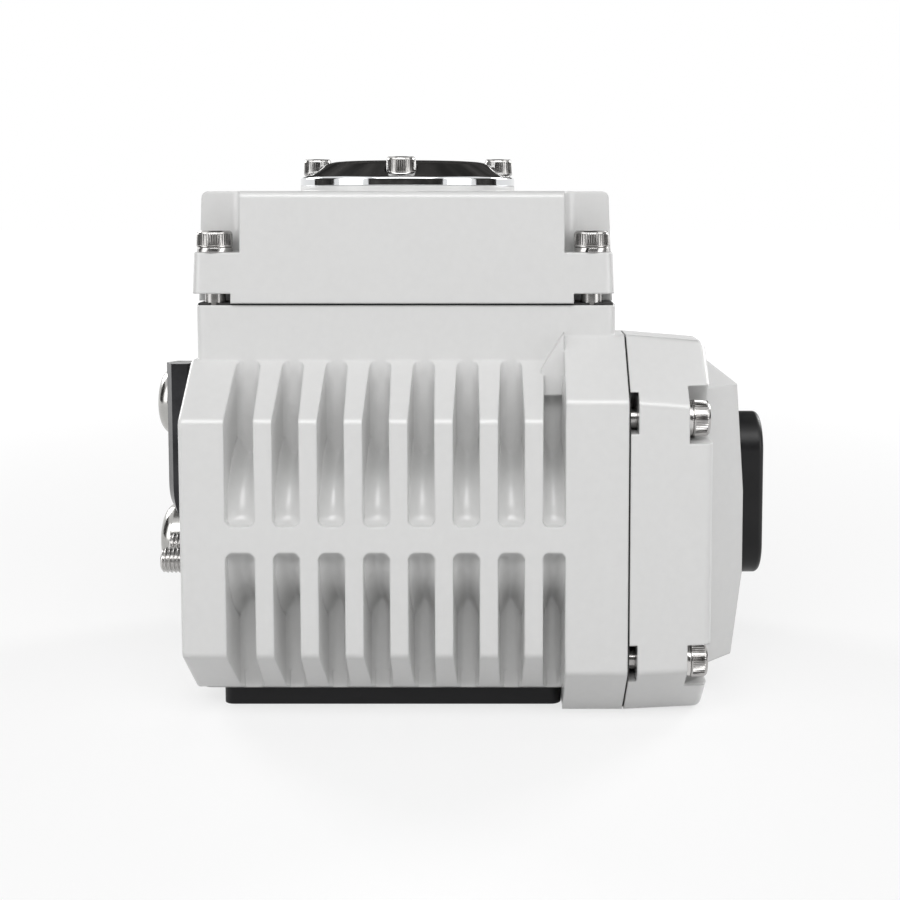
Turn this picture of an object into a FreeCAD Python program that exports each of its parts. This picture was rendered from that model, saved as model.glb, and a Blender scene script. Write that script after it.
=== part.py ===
import FreeCAD, Part
import math
import os

# Compact electric quarter-turn actuator, in millimetres.
# The origin is on the output axis, in the plane of the bottom mounting face.
# X points to the end cover, Y to the back and Z up.

# Clearances and seats
running_gap = 0.03
thread_gap = 0.05
seat_gap = 0.1
free_gap = 0.3

# Ribbed barrel of the housing
left_face_x = -58.3
barrel_half_depth = 60.0
barrel_bottom = 6.6
barrel_top = 101.0
barrel_chamfer = 14.7
chamfer_lean = 17.0
edge_radius = 3.0
cheek_width = 12.4
rib_count = 7
rib_pitch = 12.2
rib_width = 4.9
first_rib_x = -35.4
groove_draft = 0.75
groove_end_radius = 2.4
groove_floor_radius = 2.2
groove_foot_radius = 5.0
rib_band_height = 7.0
groove_head_rise = 3.0
core_lift = 3.2
core_round = 2.0

# Flange and end cover
flange_left_x = 46.4
flange_thickness = 17.0
flange_chamfer = 16.5
flange_ridge_width = 13.5
flange_back_drop = 8.5
end_gasket_thickness = 0.5
end_block_length = 22.6
end_top_draft = 2.0
end_bottom_draft = 0.5
end_side_draft = 1.6
end_wall_inside = 4.0
gear_space_wall = 5.5
gear_space_head = 16.0
gear_space_rise = 8.4
gear_space_bottom = 12.0
gear_space_shoulder = 18.0
gear_space_narrow = 14.5
nose_length = 12.4
nose_front_inset = 25.5
nose_root_inset = 14.5
nose_flat_top = 61.8
nose_flat_bottom = 38.0
nose_upper_drop = 2.5
nose_lower_drop = 2.75
nose_top_z = 93.3
nose_bottom_z = 13.1
nose_facet_z = 31.5

# Upper box and top cover
box_left_x = -56.9
box_right_x = 61.1
box_rise = 8.3
box_wall = 5.0
corner_radius = 3.0
top_gasket_thickness = 0.6
cover_overhang = 1.0
cover_height = 31.3
cover_draft = 1.3
cover_wall = 4.0
cover_top_radius = 2.0
ledge_height = 14.2
pocket_reach_x = 7.8
pocket_reach_y = 5.6
pocket_round = 4.5
notch_height = 2.7
boss_height = 1.65
boss_radius = 33.0
window_radius = 20.0

# Bezel and sight glass
bezel_band_height = 2.45
bezel_cone_height = 5.1
bezel_flat_radius = 24.0
bezel_opening_radius = 19.0
bezel_screw_circle = 28.0
glass_radius = 24.0
glass_thickness = 2.6
seal_depth = 1.2

# Fasteners
m6_radius = 3.0
m6_head_radius = 5.0
m6_head_height = 4.7
m6_socket_flats = 5.0
m5_radius = 2.5
m5_head_radius = 4.25
m5_head_height = 5.0
m5_socket_flats = 4.0
m4_radius = 2.0
m4_head_radius = 3.5
m3_radius = 1.5
m3_head_radius = 2.75
washer_thickness = 1.3
washer_radius = 4.9
cover_screw_left_x = -51.9
cover_screw_right_x = 54.4
cover_screw_inset = 4.0
end_screw_inset = 8.0
end_screw_high_z = 86.0
end_screw_low_z = 18.4
end_screw_seat = 6.6
screw_grip = 14.0

# Base with the valve interface
base_left_x = -51.6
base_right_x = 46.3
base_half_depth = 38.6
base_thickness = 14.0
spigot_radius = 17.5
spigot_depth = 3.5
small_circle_radius = 25.0
small_thread_radius = 2.5
large_circle_radius = 35.0
large_thread_radius = 3.4
base_screw_inset = 6.0
base_head_depth = 5.5

# Output shaft and stop lug
journal_radius = 14.0
bush_wall = 3.0
bush_length = 13.0
drive_square = 14.0
drive_depth = 20.0
shaft_bottom = 4.0
lug_radius = 26.0
lug_thickness = 11.0
lug_clearance = 1.8
stop_plane = 15.0
stop_spacing = 18.0
stop_bolt_radius = 4.0
front_bolt_end_x = -76.2
rear_bolt_end_x = -78.2
stop_nut_flats = 13.0
stop_nut_height = 4.0
wheel_seat_radius = 11.0
upper_journal_radius = 8.0
gear_pocket_radius = 27.5

# Worm drive
worm_module = 1.25
worm_teeth = 36
worm_pitch_radius = 7.5
worm_height = 54.0
worm_turns = 7
wheel_width = 10.0
wheel_hub_radius = 16.0
worm_backlash = 0.30
bearing_bore_radius = 4.0
bearing_outer_radius = 9.5
bearing_width = 6.0
left_bearing_x = -34.0
right_bearing_x = 50.0

# Spur train in the end cover
second_module = 1.0
worm_gear_teeth = 42
hand_pinion_teeth = 18
first_module = 0.8
hand_gear_teeth = 60
motor_pinion_teeth = 14
spur_backlash = 0.16
spur_width = 5.0
first_gear_x = 66.2
second_gear_x = 73.2

# Motor
motor_radius = 17.0
motor_length = 41.0
motor_boss_radius = 10.0
motor_shaft_radius = 2.0
motor_screw_offset = 12.0

# Hand drive under the black cap
hand_shaft_radius = 6.0
hand_bush_radius = 9.0
hand_socket_flats = 8.2
hand_socket_depth = 12.0
cap_half_height = 25.5
cap_half_width = 11.0
cap_thickness = 10.8
cap_rim_radius = 1.8
cap_bore_radius = 10.2
cap_spigot_length = 6.5

# Instruments under the top cover
gear_plate_rise = 4.0
gear_plate_radius = 34.0
gear_plate_thickness = 3.0
cam_shaft_radius = 5.0
cam_radius = 14.0
cam_lobe_radius = 17.0
cam_thickness = 5.0
cam_rise = 4.0
cam_spacing = 7.0
tray_gap = 2.4
tray_thickness = 1.5
tray_clearance = 5.0
tray_post_left_x = -36.0
tray_post_right_x = 38.0
tray_post_inset = 5.0
dial_radius = 18.0
dial_thickness = 1.5
board_drop = 23.0
board_thickness = 1.6
board_left_x = -46.0
board_right_x = -14.0
board_inset = 10.0
board_post_inset = 4.0
board_post_y = 12.0
terminal_width = 10.0
terminal_height = 11.0
terminal_ways = 8
capacitor_radius = 7.0
capacitor_inset = 4.0

# Stored hex key and its clips
key_flats = 8.0
key_x = -66.8
key_y = -18.0
key_top = 97.2
key_low_z = 52.0
key_back_inset = 4.0
key_bend_radius = 9.0
clip_width = 8.0
clip_wall = 0.8
first_clip_y = 14.0
last_clip_inset = 8.0

# Cable glands
gland_inset = 7.5
gland_low_z = 30.4
gland_high_z = 77.5
gland_thread_radius = 9.25
gland_hex_flats = 24.0
gland_body_length = 8.0
gland_nut_length = 20.1
gland_nut_radius = 11.9
gland_mouth_radius = 4.0

# Derived places
barrel_middle = (barrel_bottom + barrel_top) / 2
parting_x = flange_left_x + flange_thickness
end_cover_x = parting_x + end_gasket_thickness
end_block_x = end_cover_x + end_block_length
nose_x = end_block_x + nose_length
core_half_depth = barrel_half_depth - chamfer_lean
gear_space_half_depth = barrel_half_depth - gear_space_wall
nose_front_half = barrel_half_depth - nose_front_inset
nose_root_half = barrel_half_depth - nose_root_inset
cover_screw_y = core_half_depth - cover_screw_inset
end_screw_y = barrel_half_depth - end_screw_inset
gland_y = core_half_depth - gland_inset
key_back_y = barrel_half_depth - key_back_inset
clip_places = (first_clip_y, barrel_half_depth - last_clip_inset)
tray_half_depth = core_half_depth - box_wall - tray_clearance
wheel_pitch_radius = worm_module * worm_teeth / 2
worm_y = wheel_pitch_radius + worm_pitch_radius
hand_z = worm_height
motor_z = hand_z + first_module * (hand_gear_teeth + motor_pinion_teeth) / 2
gear_plate_seat = worm_height + wheel_width / 2 + gear_plate_rise
compartment_floor = gear_plate_seat + gear_plate_thickness
gear_space_top = motor_z + gear_space_rise
flange_height = gear_space_top + gear_space_head
flange_back_height = flange_height - flange_back_drop
box_top = flange_height + box_rise
cover_bottom = box_top + top_gasket_thickness
cover_top = cover_bottom + cover_height
boss_top = cover_top + boss_height
bezel_band_top = boss_top + bezel_band_height
bezel_top = bezel_band_top + bezel_cone_height
glass_top = boss_top + glass_thickness
tray_height = motor_z + motor_radius + tray_gap
first_cam_z = tray_height + cam_rise
second_cam_z = first_cam_z + cam_spacing
board_height = tray_height - board_drop
board_half_depth = tray_half_depth - board_inset
motor_right_x = box_right_x - box_wall - 1.1
cam_shaft_foot = gear_plate_seat - 3.0
pocket_floor = base_thickness + bush_length
lug_bottom = pocket_floor + lug_clearance
stop_height = lug_bottom + lug_thickness / 2
cover_screw_places = [
    (x, y) for x in (cover_screw_left_x, cover_screw_right_x) for y in (-cover_screw_y, cover_screw_y)
]
end_screw_places = [
    (y, z) for y in (-end_screw_y, end_screw_y) for z in (end_screw_low_z, end_screw_high_z)
]


def vec(x, y, z):
    return FreeCAD.Vector(x, y, z)


def block(x0, x1, y0, y1, z0, z1):
    return Part.makeBox(x1 - x0, y1 - y0, z1 - z0, vec(x0, y0, z0))


def rod_x(y, z, x0, x1, radius):
    return Part.makeCylinder(radius, x1 - x0, vec(x0, y, z), vec(1, 0, 0))


def rod_y(x, z, y0, y1, radius):
    return Part.makeCylinder(radius, y1 - y0, vec(x, y0, z), vec(0, 1, 0))


def rod_z(x, y, z0, z1, radius):
    return Part.makeCylinder(radius, z1 - z0, vec(x, y, z0), vec(0, 0, 1))


def fused(shapes):
    whole = shapes[0]
    if len(shapes) > 1:
        whole = whole.fuse(shapes[1:])
    return whole.removeSplitter()


def group(shapes):
    return Part.makeCompound(shapes)


def prism(points, direction):
    """Straight solid on a closed outline of corner points."""
    face = Part.Face(Part.makePolygon(points + points[:1]))
    return face.extrude(direction)


def prism_x(outline, x0, x1):
    return prism([vec(x0, y, z) for y, z in outline], vec(x1 - x0, 0, 0))


def ruled_solid(first, second):
    """Solid with straight sides between two outlines that have as many corners."""
    wires = [Part.makePolygon(points + points[:1]) for points in (first, second)]
    return Part.makeLoft(wires, True, True)


def turned_z(profile, x=0.0, y=0.0):
    """Solid of revolution about a vertical axis, from (radius, height) corners."""
    points = [vec(x + r, y, z) for r, z in profile]
    face = Part.Face(Part.makePolygon(points + points[:1]))
    return face.revolve(vec(x, y, 0), vec(0, 0, 1), 360)


def turned_x(profile, y=0.0, z=0.0):
    """Solid of revolution about an axis along X, from (x, radius) corners."""
    points = [vec(x, y, z + r) for x, r in profile]
    face = Part.Face(Part.makePolygon(points + points[:1]))
    return face.revolve(vec(0, y, z), vec(1, 0, 0), 360)


def edges_along(shape, axis):
    """Straight edges that run parallel to an axis."""
    found = []
    for edge in shape.Edges:
        if isinstance(edge.Curve, Part.Line) or isinstance(edge.Curve, Part.LineSegment):
            if abs(edge.tangentAt(edge.FirstParameter).dot(axis)) > 0.999:
                found.append(edge)
    return found


def edges_in_plane(shape, axis, place):
    """Edges whose whole length lies in the plane at this place on the axis."""
    found = []
    for edge in shape.Edges:
        box = edge.BoundBox
        low = vec(box.XMin, box.YMin, box.ZMin).dot(axis)
        high = vec(box.XMax, box.YMax, box.ZMax).dot(axis)
        if abs(low - place) < 0.01 and abs(high - place) < 0.01:
            found.append(edge)
    return found


def hexagon(flats, turn=0.0):
    """Corners of a hexagon, as plane coordinates, with one corner at the turn angle."""
    reach = flats / math.sqrt(3)
    angles = [math.radians(turn + 60 * k) for k in range(6)]
    return [(reach * math.cos(a), reach * math.sin(a)) for a in angles]


def hex_x(y, z, x0, x1, flats, turn=0.0):
    return prism_x([(y + a, z + b) for a, b in hexagon(flats, turn)], x0, x1)


def hex_z(x, y, z0, z1, flats, turn=0.0):
    return prism([vec(x + a, y + b, z0) for a, b in hexagon(flats, turn)], vec(0, 0, z1 - z0))


def octagon(half_depth, lean, bottom, top, chamfer):
    """Outline across the barrel, as (y, z) corners."""
    inner = half_depth - lean
    return [
        (-half_depth, bottom + chamfer),
        (-inner, bottom),
        (inner, bottom),
        (half_depth, bottom + chamfer),
        (half_depth, top - chamfer),
        (inner, top),
        (-inner, top),
        (-half_depth, top - chamfer),
    ]


def cap_screw_z(x, y, seat, grip, radius, head_radius, head_height, socket_flats):
    """Socket cap screw along Z, head up, its seat at the given height."""
    shank = rod_z(x, y, seat - grip, seat, radius)
    head = rod_z(x, y, seat, seat + head_height, head_radius)
    head = head.makeChamfer(0.4, edges_in_plane(head, vec(0, 0, 1), seat + head_height))
    socket = hex_z(x, y, seat + 0.45 * head_height, seat + head_height + 1, socket_flats)
    return fused([shank, head]).cut(socket)


def cap_screw_x(y, z, seat, grip, radius, head_radius, head_height, socket_flats):
    """Socket cap screw along X, head towards +X."""
    screw = cap_screw_z(0, 0, 0, grip, radius, head_radius, head_height, socket_flats)
    screw.rotate(vec(0, 0, 0), vec(0, 1, 0), 90)
    screw.translate(vec(seat, y, z))
    return screw


def ring_x(y, z, x0, x1, inner, outer):
    return rod_x(y, z, x0, x1, outer).cut(rod_x(y, z, x0 - 1, x1 + 1, inner))


def ring_z(x, y, z0, z1, inner, outer):
    return rod_z(x, y, z0, z1, outer).cut(rod_z(x, y, z0 - 1, z1 + 1, inner))


# Ribbed housing

def rib_edges():
    """Left and right edge of every raised land on the front, from cheek to flange."""
    lands = [(left_face_x, left_face_x + cheek_width)]
    for number in range(rib_count):
        centre = first_rib_x + number * rib_pitch
        lands.append((centre - rib_width / 2, centre + rib_width / 2))
    lands.append((flange_left_x, parting_x))
    return lands


def groove_tool(x0, x1, closed_z, open_z):
    """Drafted groove in the front face, rounded along its floor and at its closed end."""
    front_y = -barrel_half_depth - 1.0
    floor_y = -core_half_depth
    low, high = sorted((closed_z, open_z))
    width = x1 - x0 - 2 * groove_draft
    step = math.copysign(2 * groove_draft, open_z - closed_z)
    plan = prism([
        vec(x0, front_y, low),
        vec(x1, front_y, low),
        vec(x1 - groove_draft, floor_y, low),
        vec(x0 + groove_draft, floor_y, low),
    ], vec(0, 0, high - low))
    floor_edges = [e for e in edges_along(plan, vec(0, 0, 1)) if abs(e.CenterOfMass.y - floor_y) < 0.01]
    plan = plan.makeFillet(min(groove_floor_radius, 0.45 * width), floor_edges)
    side = prism([
        vec(x0 - 1, front_y, closed_z),
        vec(x0 - 1, front_y, open_z),
        vec(x0 - 1, floor_y, open_z),
        vec(x0 - 1, floor_y, closed_z + step),
    ], vec(x1 - x0 + 2, 0, 0))
    foot = [e for e in edges_along(side, vec(1, 0, 0)) if at_place(e, floor_y, closed_z + step)]
    side = side.makeFillet(groove_foot_radius, foot)
    face = block(x0, x1, front_y - 1, floor_y + 1, low, high)
    corners = [e for e in edges_along(face, vec(0, 1, 0)) if at_height(e, closed_z)]
    face = face.makeFillet(min(groove_end_radius, 0.4 * width), corners)
    return plan.common(side).common(face)


def at_place(edge, y, z):
    """True for an edge along X that lies at this depth and height."""
    middle = edge.CenterOfMass
    return abs(middle.y - y) < 0.01 and abs(middle.z - z) < 0.01


def undercut_tool(x0, x1):
    """Lifts the core between two ribs above their feet and rounds its lower front edge."""
    floor_y = -core_half_depth
    core_z = barrel_bottom + core_lift
    round_top = vec(0, floor_y, core_z + core_round)
    slant = core_round * (1 - math.sqrt(0.5))
    round_middle = vec(0, floor_y + slant, core_z + slant)
    round_end = vec(0, floor_y + core_round, core_z)
    inner = vec(0, -base_half_depth - seat_gap, core_z)
    corners = [
        inner,
        vec(0, inner.y, barrel_bottom - 1),
        vec(0, floor_y - 5, barrel_bottom - 1),
        vec(0, floor_y - 5, core_z + core_round),
        round_top,
    ]
    edges = [Part.makeLine(a, b) for a, b in zip(corners[:-1], corners[1:])]
    edges.append(Part.Arc(round_top, round_middle, round_end).toShape())
    edges.append(Part.makeLine(round_end, inner))
    tool = Part.Face(Part.Wire(edges)).extrude(vec(x1 - x0, 0, 0))
    tool.translate(vec(x0, 0, 0))
    return tool


def at_height(edge, z):
    return abs(edge.BoundBox.ZMin - z) < 0.01 and abs(edge.BoundBox.ZMax - z) < 0.01


def groove_tools():
    lands = rib_edges()
    upper_end = barrel_middle + rib_band_height / 2
    lower_end = barrel_middle - rib_band_height / 2
    tools = []
    for left, right in zip(lands[:-1], lands[1:]):
        gap = (left[1], right[0])
        tools.append(groove_tool(gap[0], gap[1], upper_end, barrel_top + groove_head_rise))
        tools.append(groove_tool(gap[0], gap[1], lower_end, barrel_bottom - groove_head_rise))
        tools.append(undercut_tool(gap[0] + 2 * groove_draft, gap[1] - 2 * groove_draft))
    mirrored = [tool.mirror(vec(0, 0, 0), vec(0, 1, 0)) for tool in tools]
    return tools + mirrored


def barrel():
    outline = octagon(barrel_half_depth, chamfer_lean, barrel_bottom, barrel_top, barrel_chamfer)
    body = prism_x(outline, left_face_x, flange_left_x + 1.0)
    body = body.makeFillet(edge_radius, edges_along(body, vec(1, 0, 0)))
    body = body.makeFillet(1.2, edges_in_plane(body, vec(1, 0, 0), left_face_x))
    return body.cut(groove_tools())


def flange_outline(side_inset=0.0, bottom_inset=0.0, top_inset=0.0):
    """Outline of flange and end cover: a flat ridge at the front, falling to the back."""
    half = barrel_half_depth - side_inset
    inner = half - chamfer_lean
    top = flange_height - top_inset
    back_top = flange_back_height - top_inset
    return [
        (-half, bottom_inset + flange_chamfer),
        (-inner, bottom_inset),
        (inner, bottom_inset),
        (half, bottom_inset + flange_chamfer),
        (half, top - flange_chamfer),
        (inner, back_top),
        (-inner + flange_ridge_width, top),
        (-inner, top),
        (-half, top - flange_chamfer),
    ]


def flange():
    body = prism_x(flange_outline(), flange_left_x, parting_x)
    return body.makeFillet(edge_radius, edges_along(body, vec(1, 0, 0)))


def flange_gussets():
    """Sloped webs and shallow blocks between the last rib and the flange, front and back."""
    last_rib = rib_edges()[-2][1]
    reach = flange_left_x - last_rib
    slope_top = flange_height + 1.0
    points = [
        vec(flange_left_x, -core_half_depth, slope_top),
        vec(flange_left_x, -core_half_depth, barrel_top - 2),
        vec(flange_left_x - reach, -core_half_depth, barrel_top - 2),
    ]
    shelf_depth = 0.25 * chamfer_lean
    web = prism(points, vec(0, -shelf_depth, 0))
    shelf = block(last_rib - 0.2, flange_left_x + 0.2, -core_half_depth - shelf_depth,
                  -core_half_depth, barrel_top - 9.5, barrel_top - 2)
    front = web.fuse(shelf)
    return [front, front.mirror(vec(0, 0, 0), vec(0, 1, 0))]


def upper_box():
    body = block(box_left_x, box_right_x, -core_half_depth, core_half_depth, barrel_bottom, box_top)
    return body.makeFillet(corner_radius, edges_along(body, vec(0, 0, 1)))


def compartment():
    """Space for the instruments, open at the top, with posts left in its corners."""
    left = box_left_x + box_wall + 2.0
    right = motor_right_x
    depth = core_half_depth - box_wall
    space = block(left, right, -depth, depth, compartment_floor, box_top + 1)
    posts = []
    for x, y in cover_screw_places:
        inner_x = x + math.copysign(m6_head_radius + 3.5, -x)
        inner_y = y + math.copysign(m6_head_radius + 1.0, -y)
        xs = sorted((inner_x, math.copysign(90, x)))
        ys = sorted((inner_y, math.copysign(90, y)))
        posts.append(block(xs[0], xs[1], ys[0], ys[1], compartment_floor - 1, box_top + 2))
    return space.cut(posts)


def gear_pocket():
    """Round space for the worm wheel, with a wider seat for the plate above it."""
    space = rod_z(0, 0, pocket_floor, compartment_floor + 1, gear_pocket_radius)
    seat = rod_z(0, 0, gear_plate_seat, compartment_floor + 1, gear_plate_radius + seat_gap)
    return space.fuse(seat)


def worm_bore():
    radius = bearing_outer_radius + thread_gap
    return rod_x(worm_y, worm_height, left_bearing_x, parting_x + 1, radius)


def gland_channel():
    """Way for the lower cable from its gland up to the instruments."""
    floor = gland_low_z - 6.0
    front = gland_y - gland_thread_radius - 0.25
    return block(left_face_x + 6.3, left_face_x + 17.0, front, core_half_depth - box_wall, floor,
                 compartment_floor + 1)


def base_screw_places():
    left = base_left_x + base_screw_inset
    right = base_right_x - base_screw_inset
    depth = base_half_depth - base_screw_inset
    return [(x, y) for x in (left, right) for y in (-depth, depth)]


def plate_screw_places():
    reach = (gear_plate_radius + gear_pocket_radius) / 2
    angles = [math.radians(45 + 90 * k) for k in range(4)]
    return [(reach * math.cos(a), reach * math.sin(a)) for a in angles]


def tray_post_places():
    depth = tray_half_depth - tray_post_inset
    return [(x, y) for x in (tray_post_left_x, tray_post_right_x) for y in (-depth, depth)]


def housing_holes():
    cuts = []
    for x, y in cover_screw_places:
        cuts.append(rod_z(x, y, box_top - screw_grip, box_top + 1, m6_radius + thread_gap))
    for y, z in end_screw_places:
        cuts.append(rod_x(y, z, parting_x - screw_grip, parting_x + 1, m6_radius + thread_gap))
    for y in (-stop_spacing / 2, stop_spacing / 2):
        cuts.append(rod_x(y, stop_height, left_face_x - 1, -stop_plane, stop_bolt_radius + thread_gap))
    for z in (gland_low_z, gland_high_z):
        cuts.append(rod_x(gland_y, z, left_face_x - 1, left_face_x + 11, gland_thread_radius + thread_gap))
    for x, y in base_screw_places():
        cuts.append(rod_z(x, y, base_thickness - 1, base_thickness + 8, m5_radius + thread_gap))
    for x, y in plate_screw_places():
        cuts.append(rod_z(x, y, gear_plate_seat - 9, compartment_floor, m4_radius + thread_gap))
    for side in (-1, 1):
        cuts.append(rod_x(side * motor_screw_offset, motor_z, motor_right_x - 1, parting_x + 1,
                          m3_radius + thread_gap))
    for y in clip_places:
        cuts.append(rod_x(y, key_low_z, left_face_x - 1, left_face_x + 7, m3_radius + thread_gap))
    cuts.append(rod_x(0, hand_z, parting_x - 8, parting_x + 1, bearing_bore_radius + running_gap))
    cuts.append(rod_x(0, motor_z, motor_right_x - 1, parting_x + 1, motor_boss_radius + seat_gap))
    cuts.append(rod_z(0, 0, base_thickness - 1, pocket_floor + 1, journal_radius + bush_wall))
    return cuts


def gear_housing():
    shell = fused([barrel(), flange(), upper_box()] + flange_gussets())
    recess = block(base_left_x - seat_gap, base_right_x + seat_gap, -base_half_depth - seat_gap,
                   base_half_depth + seat_gap, barrel_bottom - 1, base_thickness)
    cuts = [compartment(), gear_pocket(), worm_bore(), gland_channel(), recess]
    return shell.cut(cuts + housing_holes())


# Base and its fasteners

def circle_places(radius):
    angles = [math.radians(45 + 90 * k) for k in range(4)]
    return [(radius * math.cos(a), radius * math.sin(a)) for a in angles]


def mounting_base():
    plate = block(base_left_x, base_right_x, -base_half_depth, base_half_depth, 0, base_thickness)
    plate = plate.makeFillet(corner_radius, edges_along(plate, vec(0, 0, 1)))
    seal_bottom = spigot_depth + 4.0
    cuts = [
        rod_z(0, 0, -1, spigot_depth, spigot_radius),
        rod_z(0, 0, 0, base_thickness, journal_radius + free_gap),
        rod_z(0, 0, seal_bottom, base_thickness + 1, journal_radius + bush_wall + 1.5),
    ]
    for x, y in circle_places(small_circle_radius):
        cuts.append(rod_z(x, y, -1, base_thickness + 1, small_thread_radius))
    for x, y in circle_places(large_circle_radius):
        cuts.append(rod_z(x, y, -1, base_thickness + 1, large_thread_radius))
    for x, y in base_screw_places():
        cuts.append(rod_z(x, y, -1, base_thickness + 1, m5_radius + free_gap))
        cuts.append(rod_z(x, y, -1, base_head_depth, m5_head_radius + free_gap))
    return plate.cut(cuts)


def base_screws():
    screws = []
    for x, y in base_screw_places():
        screw = cap_screw_z(0, 0, 0, 15, m5_radius, m5_head_radius, m5_head_height, m5_socket_flats)
        screw.rotate(vec(0, 0, 0), vec(1, 0, 0), 180)
        screw.translate(vec(x, y, base_head_depth))
        screws.append(screw)
    return group(screws)


def shaft_seal():
    bottom = spigot_depth + 4.0
    outer = journal_radius + bush_wall + 1.5
    body = ring_z(0, 0, bottom, base_thickness, journal_radius + seat_gap, outer)
    groove = ring_z(0, 0, bottom + 2.5, base_thickness + 1, journal_radius + 1.5, outer - 1.2)
    return body.cut(groove)


def lower_bush():
    return ring_z(0, 0, base_thickness, pocket_floor, journal_radius + running_gap,
                  journal_radius + bush_wall)


# Output train

def drive_star():
    """Eight-pointed socket made of two squares at 45 degrees."""
    half = drive_square / 2
    square = block(-half, half, -half, half, shaft_bottom - 1, shaft_bottom + drive_depth)
    turned = square.copy()
    turned.rotate(vec(0, 0, 0), vec(0, 0, 1), 45)
    return square.fuse(turned)


def stop_lug():
    """Sector that meets the front stop bolt when closed and the rear one when open."""
    disc = rod_z(0, 0, lug_bottom, lug_bottom + lug_thickness, lug_radius)
    beyond = 2 * lug_radius
    low = lug_bottom - 1
    high = lug_bottom + lug_thickness + 1
    left = block(-beyond, -stop_plane + seat_gap, -beyond, beyond, low, high)
    back = block(-beyond, beyond, stop_plane - seat_gap, beyond, low, high)
    quarter = block(-beyond, 0, 0, beyond, low, high)
    return disc.cut([left, back, quarter])


def key_way(x_outer):
    return block(wheel_seat_radius - 3.0, x_outer, -2.5, 2.5, wheel_bottom(), gear_plate_seat - 1)


def wheel_bottom():
    return worm_height - wheel_width / 2


def output_shaft():
    shoulder = wheel_bottom() - 1.0
    profile = [
        (0, shaft_bottom),
        (journal_radius, shaft_bottom),
        (journal_radius, shoulder),
        (wheel_seat_radius, shoulder),
        (wheel_seat_radius, gear_plate_seat - 0.5),
        (upper_journal_radius, gear_plate_seat - 0.5),
        (upper_journal_radius, compartment_floor + 5),
        (0, compartment_floor + 5),
    ]
    body = fused([turned_z(profile), stop_lug()])
    socket = rod_z(0, 0, cam_shaft_foot, compartment_floor + 6, cam_shaft_radius)
    return body.cut([drive_star(), socket, key_way(wheel_seat_radius + 1)])


def wheel_key():
    return block(wheel_seat_radius - 3.0, wheel_seat_radius + 2.0, -2.5, 2.5, wheel_bottom() + 0.5,
                 gear_plate_seat - 2)


def tooth_half_angle(radius, pitch_radius, teeth, backlash):
    """Half the angle that an involute tooth takes up at a radius."""
    base = pitch_radius * math.cos(math.radians(20))
    flank = math.acos(min(1.0, base / max(radius, base)))
    pitch_flank = math.radians(20)
    opening = math.tan(pitch_flank) - pitch_flank - math.tan(flank) + flank
    return math.pi / (2 * teeth) - backlash / (2 * pitch_radius) + opening


def gear_outline(teeth, module, backlash, phase):
    """Corners of a spur gear, four to a tooth; a tooth is centred on the phase angle."""
    pitch_radius = module * teeth / 2
    tip = pitch_radius + 0.95 * module
    root = pitch_radius - 1.2 * module
    tip_half = tooth_half_angle(tip, pitch_radius, teeth, backlash)
    root_half = tooth_half_angle(root, pitch_radius, teeth, backlash)
    corners = []
    for number in range(teeth):
        middle = phase + 2 * math.pi * number / teeth
        for radius, offset in ((root, -root_half), (tip, -tip_half), (tip, tip_half), (root, root_half)):
            corners.append((radius * math.cos(middle + offset), radius * math.sin(middle + offset)))
    return corners


def spur_gear_x(y, z, x0, x1, teeth, module, phase):
    outline = gear_outline(teeth, module, spur_backlash, phase)
    return prism_x([(y + a, z + b) for a, b in outline], x0, x1)


def lead_angle():
    return math.atan(worm_module / (2 * worm_pitch_radius))


def worm_wheel():
    """Helical-toothed bronze wheel; the teeth lean with the lead of the worm."""
    pitch = wheel_pitch_radius
    twist = wheel_width / 2 * math.tan(lead_angle()) / pitch
    low = gear_outline(worm_teeth, worm_module, worm_backlash, math.pi / 2 - twist)
    high = gear_outline(worm_teeth, worm_module, worm_backlash, math.pi / 2 + twist)
    bottom = wheel_bottom()
    rim = ruled_solid([vec(a, b, bottom) for a, b in low],
                      [vec(a, b, bottom + wheel_width) for a, b in high])
    hub = rod_z(0, 0, bottom - 1.0, gear_plate_seat - 1.5, wheel_hub_radius)
    web = ring_z(0, 0, bottom + wheel_width - 2.0, bottom + wheel_width + 1, wheel_hub_radius,
                 pitch - 3.5 * worm_module)
    bore = rod_z(0, 0, bottom - 2, compartment_floor, wheel_seat_radius)
    return rim.cut(web).fuse(hub).cut([bore, key_way(wheel_seat_radius + 2)])


def cam_shaft():
    top = boss_top - 1.0
    profile = [
        (0, cam_shaft_foot),
        (cam_shaft_radius, cam_shaft_foot),
        (cam_shaft_radius, cover_top - cover_wall - 3),
        (3.0, cover_top - cover_wall - 3),
        (3.0, top),
        (0, top),
    ]
    return turned_z(profile)


def cam(bottom, lobe_angle):
    disc = rod_z(0, 0, bottom, bottom + cam_thickness, cam_radius)
    lobe = rod_z(0, 0, bottom, bottom + cam_thickness, cam_lobe_radius)
    reach = 2 * cam_lobe_radius
    sector = prism([vec(0, 0, bottom - 1), vec(reach, -0.35 * reach, bottom - 1),
                    vec(reach, 0.35 * reach, bottom - 1)], vec(0, 0, cam_thickness + 2))
    sector.rotate(vec(0, 0, 0), vec(0, 0, 1), lobe_angle)
    bore = rod_z(0, 0, bottom - 1, bottom + cam_thickness + 1, cam_shaft_radius)
    return disc.fuse(lobe.common(sector)).cut(bore)


def open_cam():
    return cam(second_cam_z, 0)


def close_cam():
    return cam(first_cam_z, 90)


def position_dial():
    """Disc with a raised pointer bar, on top of the cam shaft."""
    top = boss_top - 1.0
    disc = rod_z(0, 0, top - dial_thickness, top, dial_radius)
    bar = block(-dial_radius + 3, dial_radius - 3, -2.2, 2.2, top - 0.1, top + 0.6)
    bore = rod_z(0, 0, top - dial_thickness - 1, top, 3.0)
    return disc.cut(bore).fuse(bar.cut(rod_z(0, 0, top - 1, top, 3.0)))


# Worm shaft

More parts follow.
